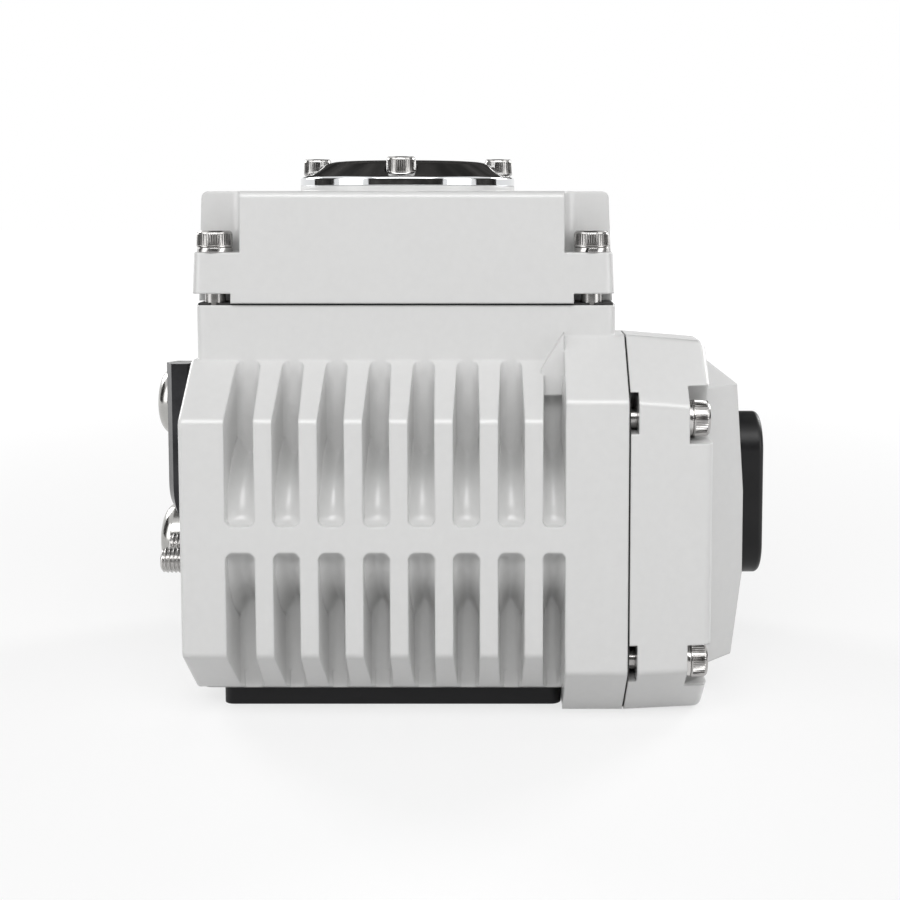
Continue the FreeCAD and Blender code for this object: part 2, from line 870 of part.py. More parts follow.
def worm_thread():
    """One start of trapezoid thread wound on the core."""
    lead = math.pi * worm_module
    tip = worm_pitch_radius + 0.95 * worm_module
    root = worm_pitch_radius - 1.2 * worm_module
    slope = math.tan(math.radians(20))
    half = lead / 4 - worm_backlash / 4
    tip_half = half - 0.95 * worm_module * slope
    root_half = half + (1.2 * worm_module + 0.3) * slope
    helix = Part.makeHelix(lead, worm_turns * lead, root)
    corners = [
        vec(root - 0.3, 0, -root_half),
        vec(tip, 0, -tip_half),
        vec(tip, 0, tip_half),
        vec(root - 0.3, 0, root_half),
    ]
    section = Part.makePolygon(corners + corners[:1])
    thread = Part.Wire(helix.Edges).makePipeShell([section], True, True)
    thread.rotate(vec(0, 0, 0), vec(0, 1, 0), 90)
    thread.translate(vec(-worm_turns * lead / 2, 0, 0))
    return thread


def worm_shaft():
    root = worm_pitch_radius - 1.2 * worm_module
    thread_half = worm_turns * math.pi * worm_module / 2
    reach = thread_half + 2.0
    shoulder_left = left_bearing_x + bearing_width + seat_gap
    shoulder_right = right_bearing_x - seat_gap
    profile = [
        (left_bearing_x + seat_gap, 0),
        (left_bearing_x + seat_gap, bearing_bore_radius),
        (shoulder_left, bearing_bore_radius),
        (shoulder_left, root - 0.5),
        (-reach, root - 0.5),
        (-reach, root),
        (reach, root),
        (reach, root - 0.5),
        (shoulder_right, root - 0.5),
        (shoulder_right, bearing_bore_radius),
        (second_gear_x + spur_width + 1.5, bearing_bore_radius),
        (second_gear_x + spur_width + 1.5, 0),
    ]
    core = turned_x(profile)
    tip = worm_pitch_radius + 0.95 * worm_module
    thread = worm_thread().common(rod_x(0, 0, -thread_half, thread_half, tip + 1))
    shaft = core.fuse(thread)
    shaft.rotate(vec(0, 0, 0), vec(1, 0, 0), -90)
    shaft.translate(vec(0, worm_y, worm_height))
    return shaft


def worm_bearings():
    bearings = []
    for x0 in (left_bearing_x, right_bearing_x):
        body = ring_x(worm_y, worm_height, x0, x0 + bearing_width, bearing_bore_radius + running_gap,
                      bearing_outer_radius)
        for side in (x0 - 1, x0 + bearing_width - 0.8):
            body = body.cut(ring_x(worm_y, worm_height, side, side + 1.8, bearing_bore_radius + 1.8,
                                   bearing_outer_radius - 1.6))
        bearings.append(body)
    return group(bearings)


def bearing_ring():
    x0 = right_bearing_x + bearing_width
    return ring_x(worm_y, worm_height, x0, x0 + 4.0, bearing_bore_radius + 2.0, bearing_outer_radius)


def worm_gear():
    """42-tooth wheel on the worm shaft; a gap faces the hand pinion."""
    phase = math.pi + math.pi / worm_gear_teeth
    wheel = spur_gear_x(worm_y, worm_height, second_gear_x, second_gear_x + spur_width,
                        worm_gear_teeth, second_module, phase)
    hub = rod_x(worm_y, worm_height, second_gear_x - 1.5, second_gear_x + spur_width + 1.0, 8.0)
    bore = rod_x(worm_y, worm_height, second_gear_x - 3, second_gear_x + spur_width + 3,
                 bearing_bore_radius)
    return wheel.fuse(hub).cut(bore)


# Hand drive

def hand_shaft():
    """Shaft with the 18-tooth pinion and the hex socket for the stored key."""
    step = bearing_bore_radius
    gear_end = second_gear_x + spur_width
    tip = nose_x - 2.3
    profile = [
        (parting_x - 7.5, 0),
        (parting_x - 7.5, step),
        (first_gear_x + spur_width, step),
        (first_gear_x + spur_width, hand_shaft_radius),
        (tip, hand_shaft_radius),
        (tip, 0),
    ]
    body = turned_x(profile, 0, hand_z)
    pinion = spur_gear_x(0, hand_z, second_gear_x - 0.5, gear_end + 0.5, hand_pinion_teeth,
                         second_module, 0.0)
    socket = hex_x(0, hand_z, tip - hand_socket_depth, tip + 1, hand_socket_flats)
    return body.fuse(pinion).cut(socket)


def hand_gear():
    """60-tooth wheel driven by the motor; a gap faces the motor pinion above."""
    phase = math.pi / 2 + math.pi / hand_gear_teeth
    wheel = spur_gear_x(0, hand_z, first_gear_x, first_gear_x + spur_width, hand_gear_teeth,
                        first_module, phase)
    bore = rod_x(0, hand_z, first_gear_x - 1, first_gear_x + spur_width + 1, bearing_bore_radius)
    dish = ring_x(0, hand_z, first_gear_x - 1, first_gear_x + 1.2, 9.0, 19.5)
    return wheel.cut([bore, dish])


def hand_bush():
    x0 = second_gear_x + spur_width + 3.0
    return ring_x(0, hand_z, x0, nose_x - cap_spigot_length - 3.0, hand_shaft_radius + running_gap,
                  hand_bush_radius)


def hand_seal():
    x1 = nose_x - cap_spigot_length - 1.0
    return ring_x(0, hand_z, x1 - 2.0, x1, hand_shaft_radius + seat_gap, hand_bush_radius)


def override_cap():
    """Black pill-shaped cap with a rounded rim and a hollow spigot."""
    straight = cap_half_height - cap_half_width
    face_x = nose_x + cap_thickness
    upper = rod_x(0, hand_z + straight, nose_x, face_x, cap_half_width)
    lower = rod_x(0, hand_z - straight, nose_x, face_x, cap_half_width)
    middle = block(nose_x, face_x, -cap_half_width, cap_half_width, hand_z - straight, hand_z + straight)
    body = fused([upper, lower, middle])
    body = body.makeFillet(cap_rim_radius, edges_in_plane(body, vec(1, 0, 0), face_x))
    spigot = rod_x(0, hand_z, nose_x - cap_spigot_length, nose_x, cap_bore_radius - free_gap)
    hollow = rod_x(0, hand_z, nose_x - cap_spigot_length - 1, nose_x + 3.0, cap_bore_radius - 2.8)
    return body.fuse(spigot).cut(hollow)


# Motor

def motor_can():
    left = motor_right_x - motor_length
    body = rod_x(0, motor_z, left, motor_right_x, motor_radius)
    body = body.makeFillet(1.5, edges_in_plane(body, vec(1, 0, 0), left))
    boss = rod_x(0, motor_z, motor_right_x, motor_right_x + 4, motor_boss_radius)
    space = rod_x(0, motor_z, left + 3, motor_right_x - 6, motor_radius - 3.5)
    bore = rod_x(0, motor_z, left + 1, motor_right_x + 5, motor_shaft_radius + running_gap)
    holes = []
    for side in (-1, 1):
        holes.append(rod_x(side * motor_screw_offset, motor_z, motor_right_x - 5, motor_right_x + 1,
                           m3_radius + thread_gap))
    return body.fuse(boss).cut([space, bore] + holes)


def motor_rotor():
    left = motor_right_x - motor_length
    shaft = rod_x(0, motor_z, left + 1.5, first_gear_x + spur_width + 0.5, motor_shaft_radius)
    core = rod_x(0, motor_z, left + 4, motor_right_x - 7, motor_radius - 4.0)
    pinion = spur_gear_x(0, motor_z, first_gear_x - 0.5, first_gear_x + spur_width + 0.5,
                         motor_pinion_teeth, first_module, -math.pi / 2)
    return shaft.fuse([core, pinion])


def motor_screws():
    seat = parting_x
    grip = seat - motor_right_x + 4.5
    return group([
        cap_screw_x(side * motor_screw_offset, motor_z, seat, grip, m3_radius, m3_head_radius, 2.4, 2.5)
        for side in (-1, 1)
    ])


# End cover

def end_outline(grow):
    """Outline of the end cover; grow runs from 0 at the gasket to 1 at its outer face."""
    return flange_outline(grow * end_side_draft, grow * end_bottom_draft, grow * end_top_draft)


def end_block():
    first = [vec(end_cover_x, y, z) for y, z in end_outline(0)]
    second = [vec(end_block_x, y, z) for y, z in end_outline(1)]
    body = ruled_solid(first, second)
    long_edges = [e for e in body.Edges if e.BoundBox.XLength > 1.0]
    body = body.makeFillet(edge_radius, long_edges)
    return body.makeFillet(2.5, edges_in_plane(body, vec(1, 0, 0), end_block_x))


def nose():
    """Faceted nose: a block tapered in plan and at both ends of its front, faceted below."""
    root_x = end_block_x - 2.0
    front = [
        (root_x, nose_top_z),
        (nose_x - nose_upper_drop, nose_top_z),
        (nose_x, nose_flat_top),
        (nose_x, nose_flat_bottom),
        (nose_x - nose_lower_drop, nose_bottom_z),
        (root_x, nose_bottom_z),
    ]
    plan = [
        (root_x, -nose_root_half),
        (end_block_x, -nose_root_half),
        (nose_x, -nose_front_half),
        (nose_x, nose_front_half),
        (end_block_x, nose_root_half),
        (root_x, nose_root_half),
    ]
    reach = barrel_half_depth
    body = prism([vec(x, -reach, z) for x, z in front], vec(0, 2 * reach, 0))
    body = body.common(prism([vec(x, y, 0) for x, y in plan], vec(0, 0, flange_height)))
    facet = lower_facet()
    return body.cut([facet, facet.mirror(vec(0, 0, 0), vec(0, 1, 0))])


def lower_facet():
    """Wedge that takes the lower front corner off the nose."""
    first = vec(nose_x, -nose_front_half, nose_flat_bottom)
    second = vec(end_block_x, -nose_root_half, nose_facet_z)
    third = vec(nose_x - nose_lower_drop, -nose_front_half + 1.5, nose_bottom_z)
    along = (second - first).normalize()
    outward = along.cross(third - first).normalize()
    if outward.y > 0:
        outward = outward * -1
    down = outward.cross(along).normalize()
    if down.z > 0:
        down = down * -1
    reach = 60
    corner = first - along * reach
    points = [corner, corner + along * 2 * reach, corner + along * 2 * reach + down * reach,
              corner + down * reach]
    return prism(points, outward * reach)


def gear_space_outline():
    return [
        (-gear_space_half_depth, gear_space_bottom + gear_space_shoulder),
        (-gear_space_half_depth + gear_space_narrow, gear_space_bottom),
        (gear_space_half_depth - gear_space_narrow, gear_space_bottom),
        (gear_space_half_depth, gear_space_bottom + gear_space_shoulder),
        (gear_space_half_depth, gear_space_top - gear_space_shoulder),
        (gear_space_half_depth - gear_space_narrow, gear_space_top),
        (-gear_space_half_depth + gear_space_narrow, gear_space_top),
        (-gear_space_half_depth, gear_space_top - gear_space_shoulder),
    ]


def end_screw_pockets():
    """Open pockets round the cap screws and pry notches at the gasket."""
    seat = end_block_x - end_screw_seat
    cuts = []
    for y, z in end_screw_places:
        high = z > hand_z
        low_z = z - (m6_head_radius + 1.0 if high else 7.6)
        high_z = z + (9.0 if high else m6_head_radius + 0.9)
        ys = sorted((y - math.copysign(6.3, y), math.copysign(barrel_half_depth + 5, y)))
        cuts.append(block(seat, end_block_x + 3, ys[0], ys[1], low_z, high_z))
        notch_low = z - (3.2 if high else 4.9)
        cuts.append(block(end_cover_x - 1, end_cover_x + 2.2, ys[0], ys[1], notch_low, notch_low + 11.0))
        cuts.append(rod_x(y, z, end_cover_x - 1, seat + 1, m6_radius + free_gap))
    return cuts


def end_cover():
    shell = fused([end_block(), nose()])
    inner_x = end_block_x - end_wall_inside
    space = prism_x(gear_space_outline(), end_cover_x - 1, inner_x)
    bush_bore = rod_x(0, hand_z, inner_x - 1, nose_x - cap_spigot_length - 1.0, hand_bush_radius)
    spigot_bore = rod_x(0, hand_z, nose_x - cap_spigot_length - 1.0, nose_x + 1, cap_bore_radius)
    bearing_boss = ring_x(0, hand_z, second_gear_x + spur_width + 3.0, inner_x + 1,
                          hand_bush_radius, hand_bush_radius + 3.0)
    shell = shell.cut([space] + end_screw_pockets()).fuse(bearing_boss)
    return shell.cut([bush_bore, spigot_bore])


def end_cover_gasket():
    inset = 0.7
    sheet = prism_x(flange_outline(inset, inset, inset), parting_x, end_cover_x)
    window = prism_x(gear_space_outline(), parting_x - 1, end_cover_x + 1)
    holes = [rod_x(y, z, parting_x - 1, end_cover_x + 1, m6_radius + free_gap) for y, z in end_screw_places]
    return sheet.cut([window] + holes)


def end_cover_screws():
    seat = end_block_x - end_screw_seat + washer_thickness
    grip = seat - parting_x + screw_grip - 2
    return group([
        cap_screw_x(y, z, seat, grip, m6_radius, m6_head_radius, m6_head_height, m6_socket_flats)
        for y, z in end_screw_places
    ])


def end_cover_washers():
    seat = end_block_x - end_screw_seat
    return group([
        ring_x(y, z, seat, seat + washer_thickness, m6_radius + seat_gap, washer_radius)
        for y, z in end_screw_places
    ])


# Top cover

def cover_corners(z, inset):
    left = box_left_x - cover_overhang + inset
    right = box_right_x + cover_overhang - 1.3 - inset
    depth = core_half_depth + cover_overhang - inset
    return [vec(left, -depth, z), vec(right, -depth, z), vec(right, depth, z), vec(left, depth, z)]


def cover_block():
    body = ruled_solid(cover_corners(cover_bottom, 0), cover_corners(cover_top, cover_draft))
    upright = [e for e in body.Edges if e.BoundBox.ZLength > 1.0]
    body = body.makeFillet(corner_radius, upright)
    return body.makeFillet(cover_top_radius, edges_in_plane(body, vec(0, 0, 1), cover_top))


def corner_pocket(x, y):
    """Open corner round a cap screw, with its inner corner rounded."""
    xs = sorted((x - math.copysign(pocket_reach_x, x), x + math.copysign(20, x)))
    ys = sorted((y - math.copysign(pocket_reach_y, y), y + math.copysign(20, y)))
    tool = block(xs[0], xs[1], ys[0], ys[1], cover_bottom + ledge_height, cover_top + 5)
    inner_x = x - math.copysign(pocket_reach_x, x)
    inner_y = y - math.copysign(pocket_reach_y, y)
    inner = [
        e for e in edges_along(tool, vec(0, 0, 1))
        if abs(e.CenterOfMass.x - inner_x) < 0.01 and abs(e.CenterOfMass.y - inner_y) < 0.01
    ]
    return tool.makeFillet(pocket_round, inner)


def corner_notch(x, y):
    xs = sorted((x - math.copysign(5.2, x), x + math.copysign(20, x)))
    ys = sorted((y - math.copysign(6.0, y), y + math.copysign(20, y)))
    return block(xs[0], xs[1], ys[0], ys[1], cover_bottom - 1, cover_bottom + notch_height)


def cover_space():
    left = box_left_x + box_wall + 1.0
    right = box_right_x - box_wall - 1.5
    depth = core_half_depth - box_wall
    space = block(left, right, -depth, depth, cover_bottom - 1, cover_top - cover_wall)
    corners = []
    for x, y in cover_screw_places:
        inner_x = x - math.copysign(pocket_reach_x + 3.0, x)
        inner_y = y - math.copysign(pocket_reach_y + 3.0, y)
        xs = sorted((inner_x, math.copysign(90, x)))
        ys = sorted((inner_y, math.copysign(90, y)))
        corners.append(block(xs[0], xs[1], ys[0], ys[1], cover_bottom - 2, cover_top))
    return space.cut(corners)


def bezel_screw_places():
    r = bezel_screw_circle
    return [(r, 0), (0, r), (-r, 0), (0, -r)]


def top_cover():
    boss = rod_z(0, 0, cover_top - 1, boss_top, boss_radius)
    shell = fused([cover_block(), boss])
    cuts = [cover_space(), rod_z(0, 0, cover_top - cover_wall - 1, boss_top + 1, window_radius)]
    cuts.append(ring_z(0, 0, boss_top - seal_depth, boss_top + 1, window_radius + 1.2, glass_radius - 0.6))
    for x, y in cover_screw_places:
        cuts.append(corner_pocket(x, y))
        cuts.append(corner_notch(x, y))
        cuts.append(rod_z(x, y, cover_bottom - 1, cover_top, m6_radius + free_gap))
    for x, y in bezel_screw_places():
        cuts.append(rod_z(x, y, boss_top - 5.0, boss_top + 1, m5_radius + thread_gap))
    return shell.cut(cuts)


def top_cover_gasket():
    inset = 0.8
    depth = core_half_depth - inset
    sheet = block(box_left_x + inset, box_right_x - inset, -depth, depth, box_top, cover_bottom)
    holes = [rod_z(x, y, box_top - 1, cover_bottom + 1, m6_radius + free_gap) for x, y in cover_screw_places]
    return sheet.cut([cover_space()] + holes)


def top_cover_screws():
    seat = cover_bottom + ledge_height + washer_thickness
    grip = seat - box_top + screw_grip - 2
    return group([
        cap_screw_z(x, y, seat, grip, m6_radius, m6_head_radius, m6_head_height, m6_socket_flats)
        for x, y in cover_screw_places
    ])


def top_cover_washers():
    seat = cover_bottom + ledge_height
    return group([
        ring_z(x, y, seat, seat + washer_thickness, m6_radius + seat_gap, washer_radius)
        for x, y in cover_screw_places
    ])


def bezel_ring():
    profile = [
        (glass_radius + seat_gap, boss_top),
        (boss_radius, boss_top),
        (boss_radius, bezel_band_top),
        (bezel_flat_radius, bezel_top),
        (bezel_opening_radius + 1.2, bezel_top),
        (bezel_opening_radius, bezel_top - 1.2),
        (bezel_opening_radius, glass_top + seat_gap),
        (glass_radius + seat_gap, glass_top + seat_gap),
    ]
    ring = turned_z(profile)
    seat = bezel_top + 0.8 - m5_head_height
    cuts = []
    for x, y in bezel_screw_places():
        cuts.append(rod_z(x, y, boss_top - 1, bezel_top + 1, m5_radius + 0.15))
        cuts.append(rod_z(x, y, seat, bezel_top + 1, m5_head_radius + 0.5))
    return ring.cut(cuts)


def bezel_screws():
    seat = bezel_top + 0.8 - m5_head_height
    grip = seat - boss_top + 4.5
    return group([
        cap_screw_z(x, y, seat, grip, m5_radius, m5_head_radius, m5_head_height, m5_socket_flats)
        for x, y in bezel_screw_places()
    ])


def sight_glass():
    return rod_z(0, 0, boss_top, glass_top, glass_radius)


def glass_seal():
    """Square-section ring in a groove of the boss, pressed down by the glass."""
    return ring_z(0, 0, boss_top - seal_depth, boss_top, window_radius + 1.2, glass_radius - 0.6)


# Instruments

def gearbox_plate():
    disc = rod_z(0, 0, gear_plate_seat, compartment_floor, gear_plate_radius)
    bore = rod_z(0, 0, gear_plate_seat - 1, compartment_floor + 1, upper_journal_radius + 2.5)
    holes = [rod_z(x, y, gear_plate_seat - 1, compartment_floor + 1, m4_radius + free_gap)
             for x, y in plate_screw_places()]
    return disc.cut([bore] + holes)


def plate_screws():
    return group([
        cap_screw_z(x, y, compartment_floor, 10, m4_radius, m4_head_radius, 2.2, 2.5)
        for x, y in plate_screw_places()
    ])


def upper_bush():
    return ring_z(0, 0, gear_plate_seat, compartment_floor + 1.5, upper_journal_radius + running_gap,
                  upper_journal_radius + 2.5)


def tray_posts():
    return group([
        hex_z(x, y, compartment_floor, tray_height, 6.0)
        for x, y in tray_post_places()
    ])


def instrument_tray():
    xs = [x for x, _ in tray_post_places()]
    plate = block(min(xs) - 6, max(xs) + 5.5, -tray_half_depth, tray_half_depth, tray_height,
                  tray_height + tray_thickness)
    plate = plate.makeFillet(4, edges_along(plate, vec(0, 0, 1)))
    window = rod_z(0, 0, tray_height - 1, tray_height + 3, cam_radius)
    holes = [rod_z(x, y, tray_height - 1, tray_height + 3, m3_radius + seat_gap)
             for x, y in tray_post_places()]
    return plate.cut([window] + holes)


def tray_screws():
    seat = tray_height + tray_thickness
    return group([
        rod_z(x, y, seat, seat + 1.6, m3_head_radius).fuse(rod_z(x, y, tray_height, seat, m3_radius))
        for x, y in tray_post_places()
    ])


def limit_switch(bottom, y0):
    """Miniature snap switch lying on its side, with its plunger towards the cam."""
    case = block(-10, 10, y0, y0 + 10, bottom, bottom + 6.4)
    plunger = block(-1.2, 1.2, y0 - 1.0, y0, bottom + 2.2, bottom + 4.2)
    holes = [rod_z(x, y0 + 7.2, bottom - 1, bottom + 8, 1.2) for x in (-4.8, 4.8)]
    return case.fuse(plunger).cut(holes)


def switch_bottom():
    return tray_height + tray_thickness


def close_switch():
    return limit_switch(first_cam_z - 0.7, cam_lobe_radius + 1.4)


def open_switch():
    return limit_switch(second_cam_z - 0.7, cam_lobe_radius + 1.4)


def switch_bracket():
    """Angle that carries both switches on two long pins."""
    y0 = cam_lobe_radius + 1.4
    foot = block(-12, 12, y0, y0 + 12, switch_bottom(), first_cam_z - 0.7)
    pins = [rod_z(x, y0 + 7.2, switch_bottom(), second_cam_z + 7, 1.15) for x in (-4.8, 4.8)]
    spacer = block(-10, 10, y0 + 4, y0 + 10, first_cam_z + 5.7, second_cam_z - 0.7)
    return foot.fuse(pins).fuse(spacer)


def board_posts():
    posts = []
    for x in (board_left_x + board_post_inset, board_right_x - board_post_inset):
        for y in (-board_post_y, board_post_y):
            posts.append(rod_z(x, y, compartment_floor, board_height, 2.5))
    return group(posts)


def control_board():
    plate = block(board_left_x, board_right_x, -board_half_depth, board_half_depth, board_height,
                  board_height + board_thickness)
    return plate.makeFillet(2, edges_along(plate, vec(0, 0, 1)))


def terminal_block():
    bottom = board_height + board_thickness
    left = board_left_x + 1.0
    half_length = board_half_depth - 2.0
    body = block(left, left + terminal_width, -half_length, half_length, bottom, bottom + terminal_height)
    cuts = []
    pitch = 2 * half_length / terminal_ways
    for way in range(terminal_ways):
        y = -half_length + pitch * (way + 0.5)
        cuts.append(rod_z(left + terminal_width / 2, y, bottom + 6, bottom + terminal_height + 1, 1.9))
        cuts.append(rod_x(y, bottom + 3.5, left - 1, left + 7, 1.4))
    return body.cut(cuts)


def run_capacitor():
    bottom = board_height + board_thickness
    x = board_right_x - capacitor_radius - 3.5
    half_length = board_half_depth - capacitor_inset
    return rod_y(x, bottom + capacitor_radius, -half_length - 1, half_length - 1, capacitor_radius)


# Outside fittings on the left face

def key_section(turn):
    return hexagon(key_flats, turn)


def hex_key():
    """L-shaped key: one arm up, the other to the back, with flats front and back."""
    start_z = key_low_z + key_bend_radius
    section = key_section(0)
    upright = prism([vec(key_x + a, key_y + b, start_z) for a, b in section],
                    vec(0, 0, key_top - start_z))
    back = prism([vec(key_x + a, key_y + key_bend_radius, key_low_z - b) for a, b in section],
                 vec(0, key_back_y - key_y - key_bend_radius, 0))
    face = Part.Face(Part.makePolygon(
        [vec(key_x + a, key_y + b, start_z) for a, b in section + section[:1]]))
    bend = face.revolve(vec(key_x, key_y + key_bend_radius, start_z), vec(1, 0, 0), 90)
    return fused([upright, bend, back])


def key_clips():
    """Spring clips open to the left that grip the lower arm by its flats."""
    clips = []
    half = key_flats / 2
    tip_x = key_x - 1.0
    for y in clip_places:
        y0 = y - clip_width / 2
        outer = block(tip_x, left_face_x, y0, y0 + clip_width, key_low_z - half - clip_wall - seat_gap,
                      key_low_z + half + clip_wall + seat_gap)
        inner = block(tip_x - 1, left_face_x - clip_wall, y0 - 1, y0 + clip_width + 1,
                      key_low_z - half - seat_gap, key_low_z + half + seat_gap)
        clip = outer.cut(inner)
        hole = rod_x(y, key_low_z, left_face_x - 3, left_face_x + 1, m3_radius + seat_gap)
        clips.append(clip.cut(hole))
    return group(clips)


def clip_screws():
    screws = []
    for y in clip_places:
        x0 = left_face_x - clip_wall
        head = rod_x(y, key_low_z, x0 - 1.5, x0, m3_head_radius)
        shank = rod_x(y, key_low_z, x0, left_face_x + 6, m3_radius)
        screws.append(head.fuse(shank))
    return group(screws)


def stop_bolt(y, end_x):
    tip = -stop_plane - seat_gap
    body = rod_x(y, stop_height, end_x, tip, stop_bolt_radius)
    ends = edges_in_plane(body, vec(1, 0, 0), tip) + edges_in_plane(body, vec(1, 0, 0), end_x)
    body = body.makeChamfer(0.8, ends)
    return body.cut(hex_x(y, stop_height, end_x - 1, end_x + 4, 4.0))


def front_stop_bolt():
    return stop_bolt(-stop_spacing / 2, front_bolt_end_x)


def rear_stop_bolt():
    return stop_bolt(stop_spacing / 2, rear_bolt_end_x)


def stop_lock_nuts():
    nuts = []
    for y in (-stop_spacing / 2, stop_spacing / 2):
        nut = hex_x(y, stop_height, left_face_x - stop_nut_height, left_face_x, stop_nut_flats, 90)
        bore = rod_x(y, stop_height, left_face_x - stop_nut_height - 1, left_face_x + 1,
                     stop_bolt_radius + thread_gap)
        nuts.append(nut.cut(bore))
    return group(nuts)


def gland_body(z):
    """Hex body with the thread that goes through the wall."""
    hex_left = left_face_x - gland_body_length
    head = hex_x(gland_y, z, hex_left, left_face_x, gland_hex_flats, 90)
    thread = rod_x(gland_y, z, left_face_x, left_face_x + 9, gland_thread_radius)
    neck = rod_x(gland_y, z, hex_left - 8, hex_left, 9.5)
    bore = rod_x(gland_y, z, hex_left - 10, left_face_x + 10, 6.5)
    return fused([head, thread, neck]).cut(bore)


def gland_nut(z):
    """Domed nut: hex at its root, round and domed at its mouth."""
    x1 = left_face_x - gland_body_length
    x0 = x1 - gland_nut_length
    radius = gland_nut_radius
    dome = 4.5
    mouth = gland_mouth_radius
    start = vec(x0 + dome, gland_y, z + radius)
    end = vec(x0, gland_y, z + mouth + 1.5)
    middle = vec(x0 + 0.29 * dome, gland_y, z + mouth + 1.5 + 0.72 * (radius - mouth - 1.5))
    axis_end = vec(x0, gland_y, z + mouth)
    edges = [
        Part.makeLine(vec(x1, gland_y, z + mouth), vec(x1, gland_y, z + radius)),
        Part.makeLine(vec(x1, gland_y, z + radius), start),
        Part.Arc(start, middle, end).toShape(),
        Part.makeLine(end, axis_end),
        Part.makeLine(axis_end, vec(x1, gland_y, z + mouth)),
    ]
    body = Part.Face(Part.Wire(edges)).revolve(vec(0, gland_y, z), vec(1, 0, 0), 360)
    grip = hex_x(gland_y, z, x1 - 9, x1, gland_hex_flats, 90)
    hollow = rod_x(gland_y, z, x1 - 15, x1 + 1, 9.5 + thread_gap)
    return fused([body, grip]).cut(hollow)


def gland_seal(z):
    """Rubber insert squeezed round the cable by the nut."""
    x1 = left_face_x - gland_body_length - 8
    return ring_x(gland_y, z, x1 - 7, x1, gland_mouth_radius, 9.4)


builders = {
    "gear_housing": gear_housing,
    "mounting_base": mounting_base,
    "base_screws": base_screws,
    "shaft_seal": shaft_seal,
    "lower_bush": lower_bush,
    "output_shaft": output_shaft,
    "worm_wheel": worm_wheel,
    "wheel_key": wheel_key,
    "cam_shaft": cam_shaft,
    "open_cam": open_cam,
    "close_cam": close_cam,
    "position_dial": position_dial,
    "worm_shaft": worm_shaft,
    "worm_gear": worm_gear,
    "worm_bearings": worm_bearings,
    "bearing_ring": bearing_ring,
    "hand_shaft": hand_shaft,
    "hand_gear": hand_gear,
    "hand_bush": hand_bush,
    "hand_seal": hand_seal,
    "override_cap": override_cap,
    "motor_can": motor_can,
    "motor_rotor": motor_rotor,
    "motor_screws": motor_screws,
    "end_cover": end_cover,
    "end_cover_gasket": end_cover_gasket,
    "end_cover_screws": end_cover_screws,
    "end_cover_washers": end_cover_washers,
    "top_cover": top_cover,
    "top_cover_gasket": top_cover_gasket,
    "top_cover_screws": top_cover_screws,
    "top_cover_washers": top_cover_washers,
    "bezel_ring": bezel_ring,
    "bezel_screws": bezel_screws,
    "sight_glass": sight_glass,
    "glass_seal": glass_seal,
    "gearbox_plate": gearbox_plate,
    "plate_screws": plate_screws,
    "upper_bush": upper_bush,
    "tray_posts": tray_posts,
    "instrument_tray": instrument_tray,
    "tray_screws": tray_screws,
    "close_switch": close_switch,
    "open_switch": open_switch,
    "switch_bracket": switch_bracket,
    "board_posts": board_posts,
    "control_board": control_board,
    "terminal_block": terminal_block,
    "run_capacitor": run_capacitor,
    "hex_key": hex_key,
    "key_clips": key_clips,
    "clip_screws": clip_screws,
    "front_stop_bolt": front_stop_bolt,
    "rear_stop_bolt": rear_stop_bolt,
    "stop_lock_nuts": stop_lock_nuts,
    "lower_gland_body": lambda: gland_body(gland_low_z),
    "upper_gland_body": lambda: gland_body(gland_high_z),
    "gland_nuts": lambda: group([gland_nut(z) for z in (gland_low_z, gland_high_z)]),
    "gland_seals": lambda: group([gland_seal(z) for z in (gland_low_z, gland_high_z)]),
}

os.makedirs("parts", exist_ok=True)
for name, build in builders.items():
    shape = build()
    shape.exportStep("parts/" + name + ".step")
    print(name, len(shape.Solids), round(shape.Volume, 1), shape.isValid())
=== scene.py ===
import math

import bmesh
import bpy
from mathutils import Matrix, Vector


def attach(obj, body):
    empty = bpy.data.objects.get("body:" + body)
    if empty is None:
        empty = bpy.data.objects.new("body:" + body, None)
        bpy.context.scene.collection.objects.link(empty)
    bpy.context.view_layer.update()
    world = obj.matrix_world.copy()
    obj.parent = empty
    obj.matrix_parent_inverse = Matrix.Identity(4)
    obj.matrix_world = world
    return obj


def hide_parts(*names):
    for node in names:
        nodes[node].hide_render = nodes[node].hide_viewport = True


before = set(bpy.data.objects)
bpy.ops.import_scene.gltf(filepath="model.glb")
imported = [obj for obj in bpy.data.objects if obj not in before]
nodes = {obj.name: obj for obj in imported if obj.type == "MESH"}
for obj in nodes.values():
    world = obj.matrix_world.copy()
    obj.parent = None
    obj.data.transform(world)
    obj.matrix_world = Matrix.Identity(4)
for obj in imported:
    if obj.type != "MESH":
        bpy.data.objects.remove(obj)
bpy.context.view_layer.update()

MM = 0.001

# Places and sizes that the dressed pieces share with the solids, in millimetres

# Cover screws and their washers
M6_HEAD_RADIUS = 5.0
M6_HEAD_HEIGHT = 4.7
M6_SHANK_RADIUS = 2.9
M6_SOCKET = 5.0
WASHER_HEIGHT = 1.3
WASHER_INNER = 3.1
WASHER_OUTER = 4.9
COVER_BOTTOM = 116.9
COVER_POCKET_FLOOR = 14.2
COVER_SCREW_X = (-51.9, 54.4)
COVER_SCREW_Y = 39.0
COVER_SCREW_GRIP = 27.5
END_FACE = 86.5
END_POCKET_DEPTH = 6.6
END_SCREW_Y = 52.0
END_SCREW_Z = (18.4, 86.0)
END_SCREW_GRIP = 29.0

